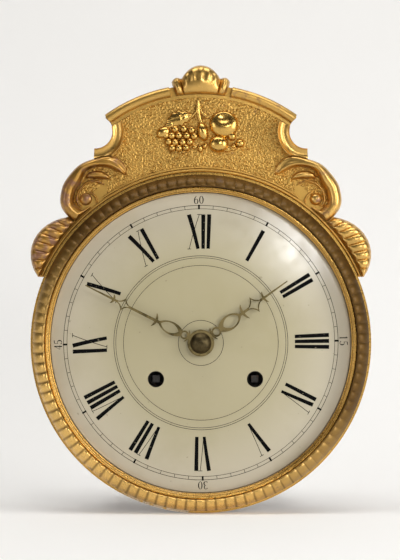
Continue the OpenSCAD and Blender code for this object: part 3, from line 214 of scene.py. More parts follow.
def noise_node(tree, vector, scale, detail=3.0, rough=0.55):
    node = tree.nodes.new("ShaderNodeTexNoise")
    node.inputs["Scale"].default_value = scale
    node.inputs["Detail"].default_value = detail
    node.inputs["Roughness"].default_value = rough
    tree.links.new(vector, node.inputs["Vector"])
    return node.outputs["Fac"]


def ranged(tree, value, from_low, from_high, to_low=0.0, to_high=1.0):
    node = tree.nodes.new("ShaderNodeMapRange")
    node.inputs["From Min"].default_value = from_low
    node.inputs["From Max"].default_value = from_high
    node.inputs["To Min"].default_value = to_low
    node.inputs["To Max"].default_value = to_high
    tree.links.new(value, node.inputs["Value"])
    return node.outputs["Result"]


def arithmetic(tree, operation, a, b):
    node = tree.nodes.new("ShaderNodeMath")
    node.operation = operation
    for socket, value in zip(node.inputs, (a, b)):
        if isinstance(value, (int, float)):
            socket.default_value = value
        else:
            tree.links.new(value, socket)
    return node.outputs["Value"]


# The Mix node's sockets for colours, which share their names with others
MIX_SHARE, MIX_A, MIX_B, MIX_RESULT = 0, 6, 7, 2


def mixed(tree, share, a, b):
    node = tree.nodes.new("ShaderNodeMix")
    node.data_type = "RGBA"
    for index, value in zip((MIX_SHARE, MIX_A, MIX_B), (share, a, b)):
        if isinstance(value, (int, float, tuple, list)):
            node.inputs[index].default_value = value
        else:
            tree.links.new(value, node.inputs[index])
    return node.outputs[MIX_RESULT]


def tinted(colour, tint):
    """The colour with its red, green and blue multiplied, each at most 1."""
    return [min(1, c * t) for c, t in zip(colour, tint)] + [1]


def scaled(colour, factor):
    return tinted(colour, (factor, factor, factor))


def stretched(tree, place, scale):
    """Coordinates scaled by axis, which draws a pattern out along the smallest."""
    mapping = tree.nodes.new("ShaderNodeMapping")
    mapping.inputs["Scale"].default_value = scale
    tree.links.new(place, mapping.inputs["Vector"])
    return mapping.outputs["Vector"]


def split_up(tree, place):
    """The X, Y and Z of a place."""
    split = tree.nodes.new("ShaderNodeSeparateXYZ")
    tree.links.new(place, split.inputs["Vector"])
    return [split.outputs[axis] for axis in "XYZ"]


def from_dial_centre(tree, place):
    """How far a place lies to the right of the dial's centre, and above it."""
    across, _, high = split_up(tree, place)
    return across, arithmetic(tree, "ADD", high, HANGER_RISE * MM)


def dial_radius(tree, place):
    """How far a place lies from the line through the dial's centre."""
    across, high = from_dial_centre(tree, place)
    square = arithmetic(tree, "ADD", arithmetic(tree, "MULTIPLY", across, across),
                        arithmetic(tree, "MULTIPLY", high, high))
    return arithmetic(tree, "SQRT", square, 0)


def wear_group():
    """Patches where a finish is rubbed through, fewer with more cover, and its unevenness."""
    group, given, result = new_group(
        "Rubbed Patches",
        [("Vector", "NodeSocketVector", (0, 0, 0)), ("Cover", "NodeSocketFloat", 0.5)],
        [("Patches", "NodeSocketFloat"), ("Cloud", "NodeSocketFloat"),
         ("Fine", "NodeSocketFloat")])
    vector = given.outputs["Vector"]
    broad = noise_node(group, vector, 24, 2)
    patch = noise_node(group, vector, 140, 5, 0.65)
    total = arithmetic(group, "ADD", arithmetic(group, "MULTIPLY", broad, 0.45), patch)
    level = arithmetic(group, "SUBTRACT", total, given.outputs["Cover"])
    group.links.new(ranged(group, level, 0.0, 0.16), result.inputs["Patches"])
    group.links.new(broad, result.inputs["Cloud"])
    group.links.new(noise_node(group, vector, 900, 3), result.inputs["Fine"])


def grain_group():
    """Growth rings and pores of planed wood, with the grain running upwards."""
    group, given, result = new_group(
        "Planed Grain", [("Vector", "NodeSocketVector", (0, 0, 0))],
        [("Rings", "NodeSocketFloat"), ("Pores", "NodeSocketFloat")])
    along = stretched(group, given.outputs["Vector"], (1, 1, 0.08))
    group.links.new(noise_node(group, along, 60, 4, 0.6), result.inputs["Rings"])
    group.links.new(noise_node(group, along, 700, 3, 0.6), result.inputs["Pores"])


def placed_group(tree, name, place):
    """A shared effect, set into a material on the given coordinates."""
    node = tree.nodes.new("ShaderNodeGroup")
    node.node_tree = bpy.data.node_groups[name]
    tree.links.new(place, node.inputs["Vector"])
    return node


def rubbed(tree, place, cover):
    """The patches, the cloud and the fine unevenness of a worn finish."""
    node = placed_group(tree, "Rubbed Patches", place)
    node.inputs["Cover"].default_value = cover
    return [node.outputs[name] for name in ("Patches", "Cloud", "Fine")]


def shader(name, slot_name, metallic, roughness):
    """A new material with its shader, and Object coordinates to put a pattern on."""
    material = bpy.data.materials.new(name)
    material.use_nodes = True
    tree = material.node_tree
    surface = tree.nodes["Principled BSDF"]
    surface.inputs["Metallic"].default_value = metallic
    surface.inputs["Roughness"].default_value = roughness
    place = tree.nodes.new("ShaderNodeTexCoord").outputs["Object"]
    material["slot"] = slot_name
    return material, tree, surface, place


def bumped(tree, surface, height, distance):
    bump = tree.nodes.new("ShaderNodeBump")
    bump.inputs["Distance"].default_value = distance
    tree.links.new(height, bump.inputs["Height"])
    tree.links.new(bump.outputs["Normal"], surface.inputs["Normal"])


def flute_grooves(tree, place):
    """1 in the grooves between the flutes of the band and 0 on the flutes."""
    across, high = from_dial_centre(tree, place)
    turn = arithmetic(tree, "ARCTAN2", high, across)
    flutes = arithmetic(tree, "MULTIPLY", turn, sizes().flute_count / (2 * math.pi))
    return ranged(tree, arithmetic(tree, "PINGPONG", flutes, 0.5), 0.03, 0.2, 1.0, 0.0)


# The ring's turned beads: radius of the innermost hollow, and their pitch
LINE_R = 105.9
LINE_PITCH = 1.1


def painted_bead_hollows(tree, place):
    """1 in the fine hollows between the ring's turned beads, where dark lines are painted as their
    shade.
    """
    out = arithmetic(tree, "SUBTRACT", dial_radius(tree, place), LINE_R * MM)
    beads = arithmetic(tree, "MULTIPLY", out, 1 / (LINE_PITCH * MM))
    return ranged(tree, arithmetic(tree, "PINGPONG", beads, 0.5), 0.08, 0.3, 1.0, 0.0)


# Where the ring is chipped, in metres: each pair runs from none to the most
CHIP_HEIGHTS = (-0.196, -0.208)
CHIP_DEPTHS = (-0.1065, -0.1035)
CHIP_WIDTHS = (0.0, -0.01)


def ring_chips(tree, place):
    """1 where the white ground shows, low on the ring's outer side and to the left."""
    across, deep, high = split_up(tree, place)
    where = arithmetic(tree, "MULTIPLY", ranged(tree, high, *CHIP_HEIGHTS),
                       ranged(tree, deep, *CHIP_DEPTHS))
    where = arithmetic(tree, "MULTIPLY", where, ranged(tree, across, *CHIP_WIDTHS))
    spots = ranged(tree, noise_node(tree, place, 75, 4, 0.7), 0.5, 0.54)
    return arithmetic(tree, "MULTIPLY", where, spots)


# Painted shade on the band: how much it slants to the right and how cloudy it is, the levels in
# metres between which it grows, and its share in the grooves, where it stands for their shade
SHADE_SLANT = 0.55
SHADE_CLOUD = 0.05
SHADE_LEVELS = (-0.165, -0.05)
SHADE_IN_GROOVES = 0.6


def painted_band_shade(tree, place, cloud, most):
    """The share of painted shade on the band, which grows from the lower left to the upper right
    and gathers in the grooves of the flutes."""
    across, _, high = split_up(tree, place)
    level = arithmetic(tree, "ADD", arithmetic(tree, "MULTIPLY", across, SHADE_SLANT), high)
    clouded = arithmetic(tree, "ADD", level, arithmetic(tree, "MULTIPLY", cloud, SHADE_CLOUD))
    grooves = arithmetic(tree, "MULTIPLY", flute_grooves(tree, place), SHADE_IN_GROOVES)
    return arithmetic(tree, "MAXIMUM", ranged(tree, clouded, *SHADE_LEVELS, 0.0, most), grooves)


def gilding(name, cover, rough, tint=(1, 1, 1), coat=0.35, film=0.0, chips=False):
    """Water gilding over red bole, rubbed through in patches. It may have painted brown shade,
    or the ring's chips and painted dark lines of shade between its turned beads."""
    material, tree, surface, place = shader(name, "gilding", 1.0, rough)
    patches, cloud, fine = rubbed(tree, place, cover)
    painted_shade = tuple(colours().painted_shade)
    gold = tinted(colours().gold, tint)
    leaf = mixed(tree, ranged(tree, cloud, 0.3, 0.7), scaled(gold, 0.72), gold)
    worn = mixed(tree, patches, leaf, tuple(colours().bole))
    metal = ranged(tree, patches, 0, 1, 1.0, 0.25)
    gloss = ranged(tree, fine, 0.3, 0.75, rough - 0.06, rough + 0.12)
    if chips:
        chipped = ring_chips(tree, place)
        worn = mixed(tree, chipped, worn, tuple(colours().gesso))
        metal = arithmetic(tree, "MULTIPLY", metal, ranged(tree, chipped, 0, 1, 1, 0))
        # Painted shade: dark lines in the hollows between the ring's turned beads.
        hollow_shade = arithmetic(tree, "MULTIPLY", painted_bead_hollows(tree, place), 0.55)
        worn = mixed(tree, hollow_shade, worn, painted_shade)
    # Painted shade: film, its most share, lays brown over the gilding towards the upper right and
    # in the flute grooves.
    if film:
        share = painted_band_shade(tree, place, cloud, film)
        worn = mixed(tree, share, worn, painted_shade)
        gloss = arithmetic(tree, "ADD", gloss, arithmetic(tree, "MULTIPLY", share, 0.3))
        coated = ranged(tree, share, 0, 1, coat, 0.1)
        tree.links.new(coated, surface.inputs["Coat Weight"])
    tree.links.new(worn, surface.inputs["Base Color"])
    tree.links.new(metal, surface.inputs["Metallic"])
    tree.links.new(gloss, surface.inputs["Roughness"])
    surface.inputs["Coat Weight"].default_value = coat
    surface.inputs["Coat Roughness"].default_value = 0.16
    bumped(tree, surface, fine, 0.00006)
    return material


# The cover at which the patches all but vanish
FULL_COVER = 0.98


def plain_metal(name, slot_name, colour, rough, film, film_share, brushed=None):
    """Metal with a cloudy film in patches, brushed along one axis where that axis is given."""
    material, tree, surface, place = shader(name, slot_name, 1.0, rough)
    patches, cloud, fine = rubbed(tree, place, FULL_COVER - film_share)
    shade = mixed(tree, ranged(tree, cloud, 0.3, 0.7), colour, scaled(colour, 0.8))
    tree.links.new(mixed(tree, patches, shade, film), surface.inputs["Base Color"])
    if brushed:
        fine = noise_node(tree, stretched(tree, place, brushed), 400, 4)
    tree.links.new(ranged(tree, fine, 0.3, 0.7, rough - 0.08, rough + 0.14),
                   surface.inputs["Roughness"])
    bumped(tree, surface, fine, 0.00002)
    return material


def wood(name, slot_name, colour, rough):
    """Planed wood with darker growth rings and pores."""
    material, tree, surface, place = shader(name, slot_name, 0.0, rough)
    grain = placed_group(tree, "Planed Grain", place)
    rings, pores = grain.outputs["Rings"], grain.outputs["Pores"]
    streaks = mixed(tree, ranged(tree, rings, 0.35, 0.65), scaled(colour, 0.5), colour)
    tone = mixed(tree, ranged(tree, pores, 0.52, 0.7), streaks, scaled(colour, 0.35))
    tree.links.new(tone, surface.inputs["Base Color"])
    tree.links.new(ranged(tree, pores, 0.3, 0.7, rough - 0.1, rough + 0.1),
                   surface.inputs["Roughness"])
    bumped(tree, surface, pores, 0.00008)
    return material


# The dial turns paler between these distances from its centre, in metres. The tints are
# those of its edge and of its stains
DIAL_FADE = (0.055, 0.104)
EDGE_TINT = (1.32, 1.36, 1.72)
STAIN_TINT = (0.86, 0.84, 0.74)
SPECK = (0.2, 0.16, 0.1, 1)


def dial_enamel():
    """Glossy cream enamel, greyer and paler towards its edge, with faint stains and specks."""
    material, tree, surface, place = shader("Dial Enamel", "dial_paint", 0.0, 0.2)
    paint = tuple(colours().dial_paint)
    fade = ranged(tree, dial_radius(tree, place), *DIAL_FADE)
    tone = mixed(tree, fade, paint, tinted(paint, EDGE_TINT))
    cloud = noise_node(tree, place, 22, 4, 0.6)
    stained = mixed(tree, ranged(tree, cloud, 0.5, 0.8, 0, 0.35), tone,
                    tinted(paint, STAIN_TINT))
    specks = ranged(tree, noise_node(tree, place, 260, 2, 0.5), 0.735, 0.76, 0, 0.35)
    tree.links.new(mixed(tree, specks, stained, SPECK), surface.inputs["Base Color"])
    gloss = noise_node(tree, place, 120, 3)
    tree.links.new(ranged(tree, gloss, 0.3, 0.7, 0.12, 0.26), surface.inputs["Roughness"])
    bumped(tree, surface, noise_node(tree, place, 30, 3), 0.00004)
    return material


def printing_ink():
    """Dull black ink, worn through in tiny flecks."""
    material, tree, surface, place = shader("Printing Ink", "dial_paint", 0.0, 0.8)
    surface.inputs["Specular IOR Level"].default_value = 0.04
    flecks = ranged(tree, noise_node(tree, place, 800, 3, 0.6), 0.66, 0.72)
    tree.links.new(mixed(tree, flecks, tuple(colours().ink), (0.3, 0.26, 0.18, 1)),
                   surface.inputs["Base Color"])
    return material


def make_materials():
    """Every finish of the clock, each kept under the key that pieces ask for it by."""
    wear_group()
    grain_group()
    made = {
        # The band carries painted shade, brown towards its upper right and in its grooves; the
        # ring has painted dark lines between its beads.
        "band": gilding("Gilding of the Band", 0.86, 0.28, tint=(1.3, 1.36, 1.6), film=0.92),
        "ring": gilding("Gilding of the Ring", 0.95, 0.28, tint=(1.2, 1.18, 1.1), chips=True),
        "crest": gilding("Gilding of the Crest", 0.82, 0.32, tint=(1.12, 1.13, 1.2)),
        "rail": gilding("Gilding of the Rail", 0.82, 0.36),
        "ground": gilding("Gilding of the Ground", 0.9, 0.46, tint=(0.93, 0.93, 0.93), coat=0.08),
        "fruit": gilding("Burnished Gilding", 0.95, 0.22, tint=(1, 1, 0.95)),
        # The left scroll and fan: more rubbed patches, and a darker tint that paints shade on the
        # side away from the light.
        "left_scroll": gilding("Rubbed Gilding", 0.7, 0.36, tint=(0.78, 0.7, 0.58)),
        "dial": dial_enamel(),
        "ink": printing_ink(),
        "hands": plain_metal("Patinated Brass", "hand_brass", (0.24, 0.185, 0.08, 1), 0.45,
                             tuple(colours().patina), 0.32),
        "nut": plain_metal("Bronzed Nut", "hand_brass", (0.1, 0.075, 0.035, 1), 0.4,
                           (0.05, 0.038, 0.018, 1), 0.4),
        "plate": plain_metal("Rolled Brass", "plate_brass", (0.78, 0.58, 0.26, 1), 0.3,
                             (0.5, 0.34, 0.13, 1), 0.1, brushed=(1, 1, 0.05)),
        "wheel": plain_metal("Cut Brass", "wheel_brass", (0.84, 0.64, 0.28, 1), 0.22,
                             (0.6, 0.42, 0.17, 1), 0.08),
        "steel": plain_metal("Turned Steel", "steel", (0.5, 0.5, 0.51, 1), 0.3,
                             (0.2, 0.19, 0.18, 1), 0.1),
        "blued": plain_metal("Blued Steel", "blued_steel", (0.1, 0.13, 0.24, 1), 0.28,
                             (0.12, 0.1, 0.1, 1), 0.15),
        "iron": plain_metal("Black Iron", "iron", (0.09, 0.085, 0.08, 1), 0.55,
                            (0.16, 0.09, 0.05, 1), 0.2),
        "board": wood("Pine Board", "board_wood", (0.4, 0.27, 0.15, 1), 0.6),
        "case": wood("Stained Case", "case_wood", (0.2, 0.1, 0.05, 1), 0.42),
    }
    for key, material in made.items():
        material["clock"] = key


def finish(key):
    """The finish that was made under a key."""
    return next(m for m in bpy.data.materials if m.get("clock") == key)


# Modelling helpers


def only(kind, geom):
    """The items of one kind among those that a bmesh operator returns."""
    return [item for item in geom if isinstance(item, kind)]


def faces_among(bm, verts):
    """The faces that have all their corners among the given vertices."""
    mine = set(verts)
    return [f for f in bm.faces if all(v in mine for v in f.verts)]


def extruded(bm, edge):
    """The new edge that extruding an edge makes opposite to it."""
    made = bmesh.ops.extrude_edge_only(bm, edges=[edge])["geom"]
    return next(e for e in only(BMEdge, made) if all(v in made for v in e.verts))


def smooth_mesh(name, bm):
    mesh = bpy.data.meshes.new(name)
    bm.to_mesh(mesh)
    bm.free()
    for face in mesh.polygons:
        face.use_smooth = True
    return mesh


def add_object(name, data):
    """A new object of the scene, unturned and at the origin."""
    made = bpy.data.objects.new(name, data)
    bpy.context.scene.collection.objects.link(made)
    return made


def make_piece(name, bm, key, replaced=(), crease=35, weld=WELD):
    """Turns a finished bmesh into a piece of the clock that has the finish of that key."""
    bmesh.ops.remove_doubles(bm, verts=bm.verts, dist=weld)
    bmesh.ops.recalc_face_normals(bm, faces=bm.faces)
    bmesh.ops.transform(bm, matrix=STAND, verts=bm.verts)
    mesh = smooth_mesh(name, bm)
    mesh.set_sharp_from_angle(angle=math.radians(crease))
    material = finish(key)
    mesh.materials.append(material)
    piece = add_object(name, mesh)
    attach(piece, "case")
    if replaced:
        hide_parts(*replaced)
    return piece


def carve(bm, along, across, shape):
    """A grid whose points shape(u, v) sets, walled down to the ground and closed underneath."""
    verts = bmesh.ops.create_grid(bm, x_segments=along, y_segments=across, size=0.5)["verts"]
    for v in verts:
        v.co = Vector(shape(v.co.x + 0.5, v.co.y + 0.5))
    close_down(bm, verts, GROUND)


def close_down(bm, verts, floor):
    """Walls the rim of an open sheet down to the floor and closes it underneath."""
    edges = dict.fromkeys(e for f in faces_among(bm, verts) for e in f.edges)
    rim = [e for e in edges if e.is_boundary]
    wall = bmesh.ops.extrude_edge_only(bm, edges=rim)["geom"]
    for v in only(BMVert, wall):
        v.co.z = floor
    foot = [e for e in only(BMEdge, wall) if e.is_boundary]
    bmesh.ops.edgeloop_fill(bm, edges=foot)


def dial_level(x, y):
    """Height of the dial's domed face."""
    return DIAL_TOP - DOME_R + math.sqrt(DOME_R * DOME_R - x * x - y * y)


# Ring band

# The band's section: out from its inner edge, up from the ledge, share of the flutes' depth
BAND_SECTION = (
    (0.0, 0.0, 0.0), (0.0, 7.6, 0.0), (0.2, 9.0, 0.2), (0.6, 9.8, 0.7), (1.2, 10.0, 1.0),
    (2.4, 9.6, 1.0), (3.8, 8.8, 1.0), (5.2, 7.7, 1.0), (6.5, 6.3, 1.0), (7.5, 4.8, 1.0),
    (8.2, 3.4, 0.9), (8.6, 2.2, 0.5), (8.8, 1.2, 0.0), (8.8, 0.0, 0.0), (4.4, 0.0, 0.0),
    (0.0, 0.0, 0.0))
STEPS_PER_FLUTE = 10
GROOVE_POWER = 2.6
HAND_WAVER = 0.12


def build_band():
    bm = bmesh.new()
    count = sizes().flute_count
    rows = len(BAND_SECTION) - 1
    around = count * STEPS_PER_FLUTE
    grid = bmesh.ops.create_grid(bm, x_segments=around, y_segments=rows, size=0.5)
    for v in grid["verts"]:
        turn = round((v.co.x + 0.5) * around)
        out, up, share = BAND_SECTION[round((v.co.y + 0.5) * rows)]
        phase = turn % STEPS_PER_FLUTE / STEPS_PER_FLUTE
        groove = sizes().flute_depth / MM * abs(2 * phase - 1) ** GROOVE_POWER
        uneven = HAND_WAVER * noise.noise(Vector((turn / STEPS_PER_FLUTE * 1.3, up, 4)))
        x, y = polar(BAND_IN + out, turn % around * 360 / around)
        v.co = Vector((x, y, LEDGE + up - share * (groove + uneven)))
    make_piece("fluted_band", bm, "band", replaced=["gadroon_band"], crease=50)


# Crest

RAIL_BEAD = 2.0


def arch_limit(x, y):
    """Distance inside the top rail's inner edge."""
    return ARCH_R - RAIL_W - RAIL_BEAD - math.hypot(x - ARCH_C[0], y - ARCH_C[1])


# The right notch, the middle of the right scroll's curl, and its eye counted from there
NOTCH_C = (74.0, 148.3)
NOTCH_R = 11.6
CURL = (80.4, 100.8)
EYE_AT = (0.6, 0.2)
EYE_R = 4.4
LEFT_EYE_HEIGHT = 2.4
RIGHT_EYE_HEIGHT = 4.2
# Limbs of a scroll about the middle of its curl: x, y, half width, share of the height
STEM = ((-3, -6.4, 1.6, 0.4), (4.6, -11.6, 4.6, 0.88), (13.2, -4, 4.8, 1), (12.6, 6.4, 5, 1),
        (8.3, 14, 5, 1), (2.6, 21.9, 3.4, 0.95), (-6.8, 25.7, 3.2, 0.88), (-16.5, 26.3, 4.4, 0.82),
        (-22.4, 23.5, 4.1, 0.68), (-26.4, 19.4, 2.2, 0.45), (-28, 17.2, 0.5, 0.2))
HOOK = ((0.6, 14.9, 0.6, 0.25), (-1.6, 16.5, 1.9, 0.55), (-4.7, 17.3, 2.9, 0.68),
        (-9.5, 17.2, 2.9, 0.7), (-13.6, 16.1, 2.3, 0.58), (-16.5, 14.4, 0.7, 0.3))
RIDGE = ((-12.7, 10.4, 0.5, 0.25), (-6.3, 13, 0.9, 0.38), (0.1, 11.4, 0.9, 0.4),
         (4.9, 6.8, 0.9, 0.4), (6.7, 0.6, 0.9, 0.38), (5.6, -3.4, 0.8, 0.32),
         (3.6, -4.9, 0.4, 0.22))
SIDE_RIDGE = ((-2.2, 5.4, 0.4, 0.22), (-5.6, 2.6, 0.8, 0.32), (-7.2, -0.6, 0.8, 0.32),
              (-6.8, -2.6, 0.5, 0.25))


def scroll_edge(degrees):
    """How far the ground behind a scroll reaches from the middle of its curl."""
    return 18.4 + 17.7 * (max(0.0, degrees + 20) / 150) ** 3


# The open ground ends under the arch, round the notches and behind the scrolls
ARCH_HALF_WIDTH = 66
NOTCH_MARGIN = 1.5
SCROLL_MARGIN = 2.5
SCROLL_FROM = -60
SCROLL_TO = 135


def on_ground(x, y):
    """True where the crest's stippled ground is open or lies under a scroll."""
    x = abs(x)
    middle = abs(math.degrees(math.atan2(x, y))) < BEAD_HALF_SPAN + 0.5
    if math.hypot(x, y) < (BEAD_END if middle else CREST_FOOT) + 0.1:
        return False
    if math.hypot(x - NOTCH_C[0], y - NOTCH_C[1]) < NOTCH_R + NOTCH_MARGIN:
        return False
    if x < ARCH_HALF_WIDTH and arch_limit(x, y) > 0:
        return True
    angle = math.degrees(math.atan2(y - CURL[1], x - CURL[0]))
    away = math.hypot(x - CURL[0], y - CURL[1])
    beside = SCROLL_FROM < angle < SCROLL_TO
    return beside and away < scroll_edge(angle) - SCROLL_MARGIN


# The grid that the ground is cut from: its cells round the dial and outwards, and its reach
# in degrees and outwards. The ground sinks into the panel under it
GROUND_CELLS = (560, 124)
GROUND_DEGREES = 100
GROUND_REACH = 53
GROUND_SINK = 0.4
STIPPLE_FLOOR = 0.35


def build_ground():
    bm = bmesh.new()
    pitch = sizes().stipple_pitch / MM
    around, outwards = GROUND_CELLS
    grid = bmesh.ops.create_grid(bm, x_segments=around, y_segments=outwards, size=0.5)
    for v in grid["verts"]:
        x, y = polar(CREST_FOOT + (v.co.y + 0.5) * GROUND_REACH, 90 + GROUND_DEGREES * v.co.x)
        v.co = Vector((x, y, GROUND))
    outside = [f for f in bm.faces if not on_ground(*f.calc_center_median()[:2])]
    bmesh.ops.delete(bm, geom=outside, context="FACES")
    loose = [v for v in bm.verts if not v.link_faces]
    bmesh.ops.delete(bm, geom=loose, context="VERTS")
    for v in bm.verts:
        spot = Vector((v.co.x, v.co.y, 0)) / pitch
        worm = noise.noise(spot * 0.9) + 0.6 * noise.noise(spot * 1.7 + Vector((7, 3, 1)))
        mark = sizes().stipple_height / MM * max(-0.5, min(0.5, worm))
        v.co.z = GROUND + STIPPLE_FLOOR + mark
    close_down(bm, list(bm.verts), GROUND - GROUND_SINK)
    make_piece("stippled_ground", bm, "ground", crease=60)


# The shell spreads from its root by half its degrees to each side. Its middle part ends at
# the step, and the side parts have narrower ribs
SHELL_ROOT = (0.0, 130.0)
SHELL_HALF = 21.2
SHELL_STEP = 14.6
RIB_DEGREES = 5.4
SIDE_RIB_DEGREES = 2.4
SHELL_RIM = 1.8


def shell_edge(b):
    """How far the shell reaches from its root, at b degrees from its middle line."""
    b = abs(b)
    lobe = 13.3 - 0.042 * b * b if b < SHELL_STEP else 7.1 - 0.15 * (b - 17.5) ** 2
    return ARCH_TOP - SHELL_ROOT[1] + lobe


def shell_point(u, t):
    """A point of the shell, u across its ribs and t from its foot to its edge."""
    b = SHELL_HALF * (2 * u - 1)
    a = 90 - b
    low = along_ray(SHELL_ROOT, a, ARCH_C, ARCH_R - RAIL_W + 0.4)
    r = low + (shell_edge(b) - low) * t
    if abs(b) > SHELL_STEP:
        swell = rounded((abs(b) - SHELL_STEP) / (SHELL_HALF - SHELL_STEP + 0.01), 2.0)
        flute = 0.5 * math.cos(2 * math.pi * (abs(b) - SHELL_STEP) / SIDE_RIB_DEGREES)
        top = 1.6 + 4.6 * swell
    else:
        swell = math.sqrt(max(0.0, 1 - (b / (SHELL_STEP + 1.6)) ** 2))
        flute = 0.85 * math.cos(2 * math.pi * b / RIB_DEGREES)
        top = SHELL_RIM + (sizes().shell_height / MM - SHELL_RIM) * swell
    lift = rounded(min(1, 0.03 + t * 0.97), 2.6)
    height = top * max(0.12, lift) - (1 - flute) * blend(0.35, 0.7, t) * 0.5
    x, y = polar(r, a)
    return SHELL_ROOT[0] + x, SHELL_ROOT[1] + y, GROUND + max(0.5, height)


def build_shell():
    bm = bmesh.new()
    carve(bm, 110, 26, shell_point)
    make_piece("shell", bm, "crest", replaced=["shell_finial"], crease=70)


def path_at(path, u):
    """A point of a smooth curve through the path's points, with its half width and height."""
    last = len(path) - 1
    i = min(int(u * last), last - 1)
    t = u * last - i
    a, b, c, d = path[max(i - 1, 0)], path[i], path[i + 1], path[min(i + 2, last)]
    return [(2 * q + (r - p) * t + (2 * p - 5 * q + 4 * r - s) * t * t
             + (3 * q - p - 3 * r + s) * t**3) / 2 for p, q, r, s in zip(a, b, c, d)]


def outside_foot(x, y):
    """The place, moved outwards where it lies inside the crest's foot."""
    grow = max(1.0, CREST_FOOT / math.hypot(x, y))
    return x * grow, y * grow


# Share of a limb's length over which its direction is taken
HEADING_STEP = 0.01


def limb_shape(path, hollow=0.0, power=2.2):
    """A rounded limb along a path. A hollow one dips towards its far end and has a fine
    groove beside its edge."""

    def shape(u, t):
        x, y, half, share = path_at(path, u)
        ax, ay = path_at(path, min(1.0, u + HEADING_STEP))[:2]
        bx, by = path_at(path, max(0.0, u - HEADING_STEP))[:2]
        length = math.hypot(ax - bx, ay - by)
        sx, sy = (by - ay) / length * half, (ax - bx) / length * half
        x0, y0 = outside_foot(CURL[0] + x - sx, CURL[1] + y - sy)
        x1, y1 = outside_foot(CURL[0] + x + sx, CURL[1] + y + sy)
        full = sizes().scroll_height / MM * share
        dip = hollow * blend(0.5, 0.75, u) * math.sin(math.pi * min(1, t / 0.8)) ** 2
        groove = 0.35 * math.exp(-((t - 0.84) / 0.07) ** 2) if hollow else 0.0
        height = max(0.3, full * max(0.04, rounded(t, power)) - dip - groove)
        return x0 + (x1 - x0) * t, y0 + (y1 - y0) * t, GROUND + height

    return shape


def add_dome(bm, centre, radii, turn=0.0, rings=14, round_parts=28, lift=0.0):
    """A dome on the ground or lifted above it, with its radii along its own axes."""
    made = bmesh.ops.create_uvsphere(bm, u_segments=round_parts, v_segments=rings, radius=1.0)
    verts = made["verts"]
    bmesh.ops.scale(bm, vec=Vector(radii), verts=verts)
    bmesh.ops.rotate(bm, cent=(0, 0, 0), matrix=Matrix.Rotation(math.radians(turn), 3, "Z"),
                     verts=verts)
    bmesh.ops.translate(bm, vec=Vector((centre[0], centre[1], GROUND + lift)), verts=verts)
    faces = faces_among(bm, verts)
    edges = list(dict.fromkeys(e for f in faces for e in f.edges))
    cut = bmesh.ops.bisect_plane(bm, geom=verts + edges + faces, plane_co=(0, 0, GROUND - 0.1),
                                 plane_no=(0, 0, 1), clear_inner=True)
    bmesh.ops.edgeloop_fill(bm, edges=only(BMEdge, cut["geom_cut"]))


def make_side(side, part, bm, weld=WELD):
    """Turns a right-hand carving into the piece of its side, mirrored for the left."""
    if side < 0:
        bmesh.ops.scale(bm, vec=Vector((-1, 1, 1)), verts=bm.verts)
        bmesh.ops.reverse_faces(bm, faces=bm.faces)
    # The left carvings take the darker gilding: painted shade, with more rubbed patches.
    name, key = ("left", "left_scroll") if side < 0 else ("right", "crest")
    make_piece(f"{name}_carved_{part}", bm, key, [f"{name}_{part}"], crease=60, weld=weld)


def build_scroll(side):
    bm = bmesh.new()
    carve(bm, 160, 24, limb_shape(STEM, hollow=1.7))
    for path, along, across in ((HOOK, 60, 16), (RIDGE, 90, 8), (SIDE_RIDGE, 40, 8)):
        carve(bm, along, across, limb_shape(path, power=2.0))
    eye_height = LEFT_EYE_HEIGHT if side < 0 else RIGHT_EYE_HEIGHT
    add_dome(bm, (CURL[0] + EYE_AT[0], CURL[1] + EYE_AT[1]), (EYE_R, EYE_R, eye_height),
             round_parts=40)
    make_side(side, "scroll", bm, weld=FINE_WELD)


# A fan spreads from its root between two angles, and reaches furthest near its middle
FAN_ROOT = (20.0, 45.0)
FAN_FROM = 0.8
FAN_TO = 30.2
FAN_MIDDLE = 12.6
FAN_REACH = 101.3
FAN_RIBS = 8
FAN_GROOVE = 1.5


def fan_point(u, t):
    """A point of the fan, u across its ribs and t from its foot to its edge."""
    a = FAN_FROM + (FAN_TO - FAN_FROM) * u
    low = along_ray(FAN_ROOT, a, (0, 0), CREST_FOOT)
    edge = max(FAN_REACH - 0.05 * (a - FAN_MIDDLE) ** 2, low + 0.8)
    r = low + (edge - low) * t
    rib = abs(math.sin(math.pi * FAN_RIBS * u))
    swell = max(0.1, rounded(0.04 + 0.96 * t, 2.4))
    end = rounded(0.02 + 0.96 * u, 4)
    groove = FAN_GROOVE * blend(0.0, 0.25, t) * (1 - rib**0.6)
    height = sizes().fan_height / MM * swell * (0.45 + 0.55 * end) - groove
    x, y = polar(r, a)
    return FAN_ROOT[0] + x, FAN_ROOT[1] + y, GROUND + max(0.5, height)


def build_fan(side):
    bm = bmesh.new()
    carve(bm, 128, 22, fan_point)
    make_side(side, "fan", bm)


# Fruit

# Its places are counted from a line this far to the right of the clock's middle
CREST_SHIFT = 1.2
# How far above the ground the fruit, the leaves and the middles of the stems begin
FRUIT_RISE = 0.7
LEAF_RISE = 0.9
STEM_RISE = 1.5
STEM_SIDES = 10
# The hollow in the big fruit, wider than high
HOLLOW_C = (16.2, 157.4)
HOLLOW_R = 3.4
HOLLOW_STRETCH = 1.5
HOLLOW_DEPTH = 2.6
GRAPE_R = 2.75
GRAPE_HEIGHT = 3
# Middle of each grape
GRAPES = (
    (-19.2, 150.2), (-13.2, 150.4), (-7.6, 149.6), (-21.6, 145.6), (-16.6, 145.8),
    (-11.1, 145.6), (-5.8, 145.2), (-24.0, 141.2), (-19.2, 140.9), (-13.9, 141.0),
    (-8.9, 141.2), (-21.4, 136.9), (-16.6, 136.8), (-11.6, 137.2), (-26.0, 145.9))
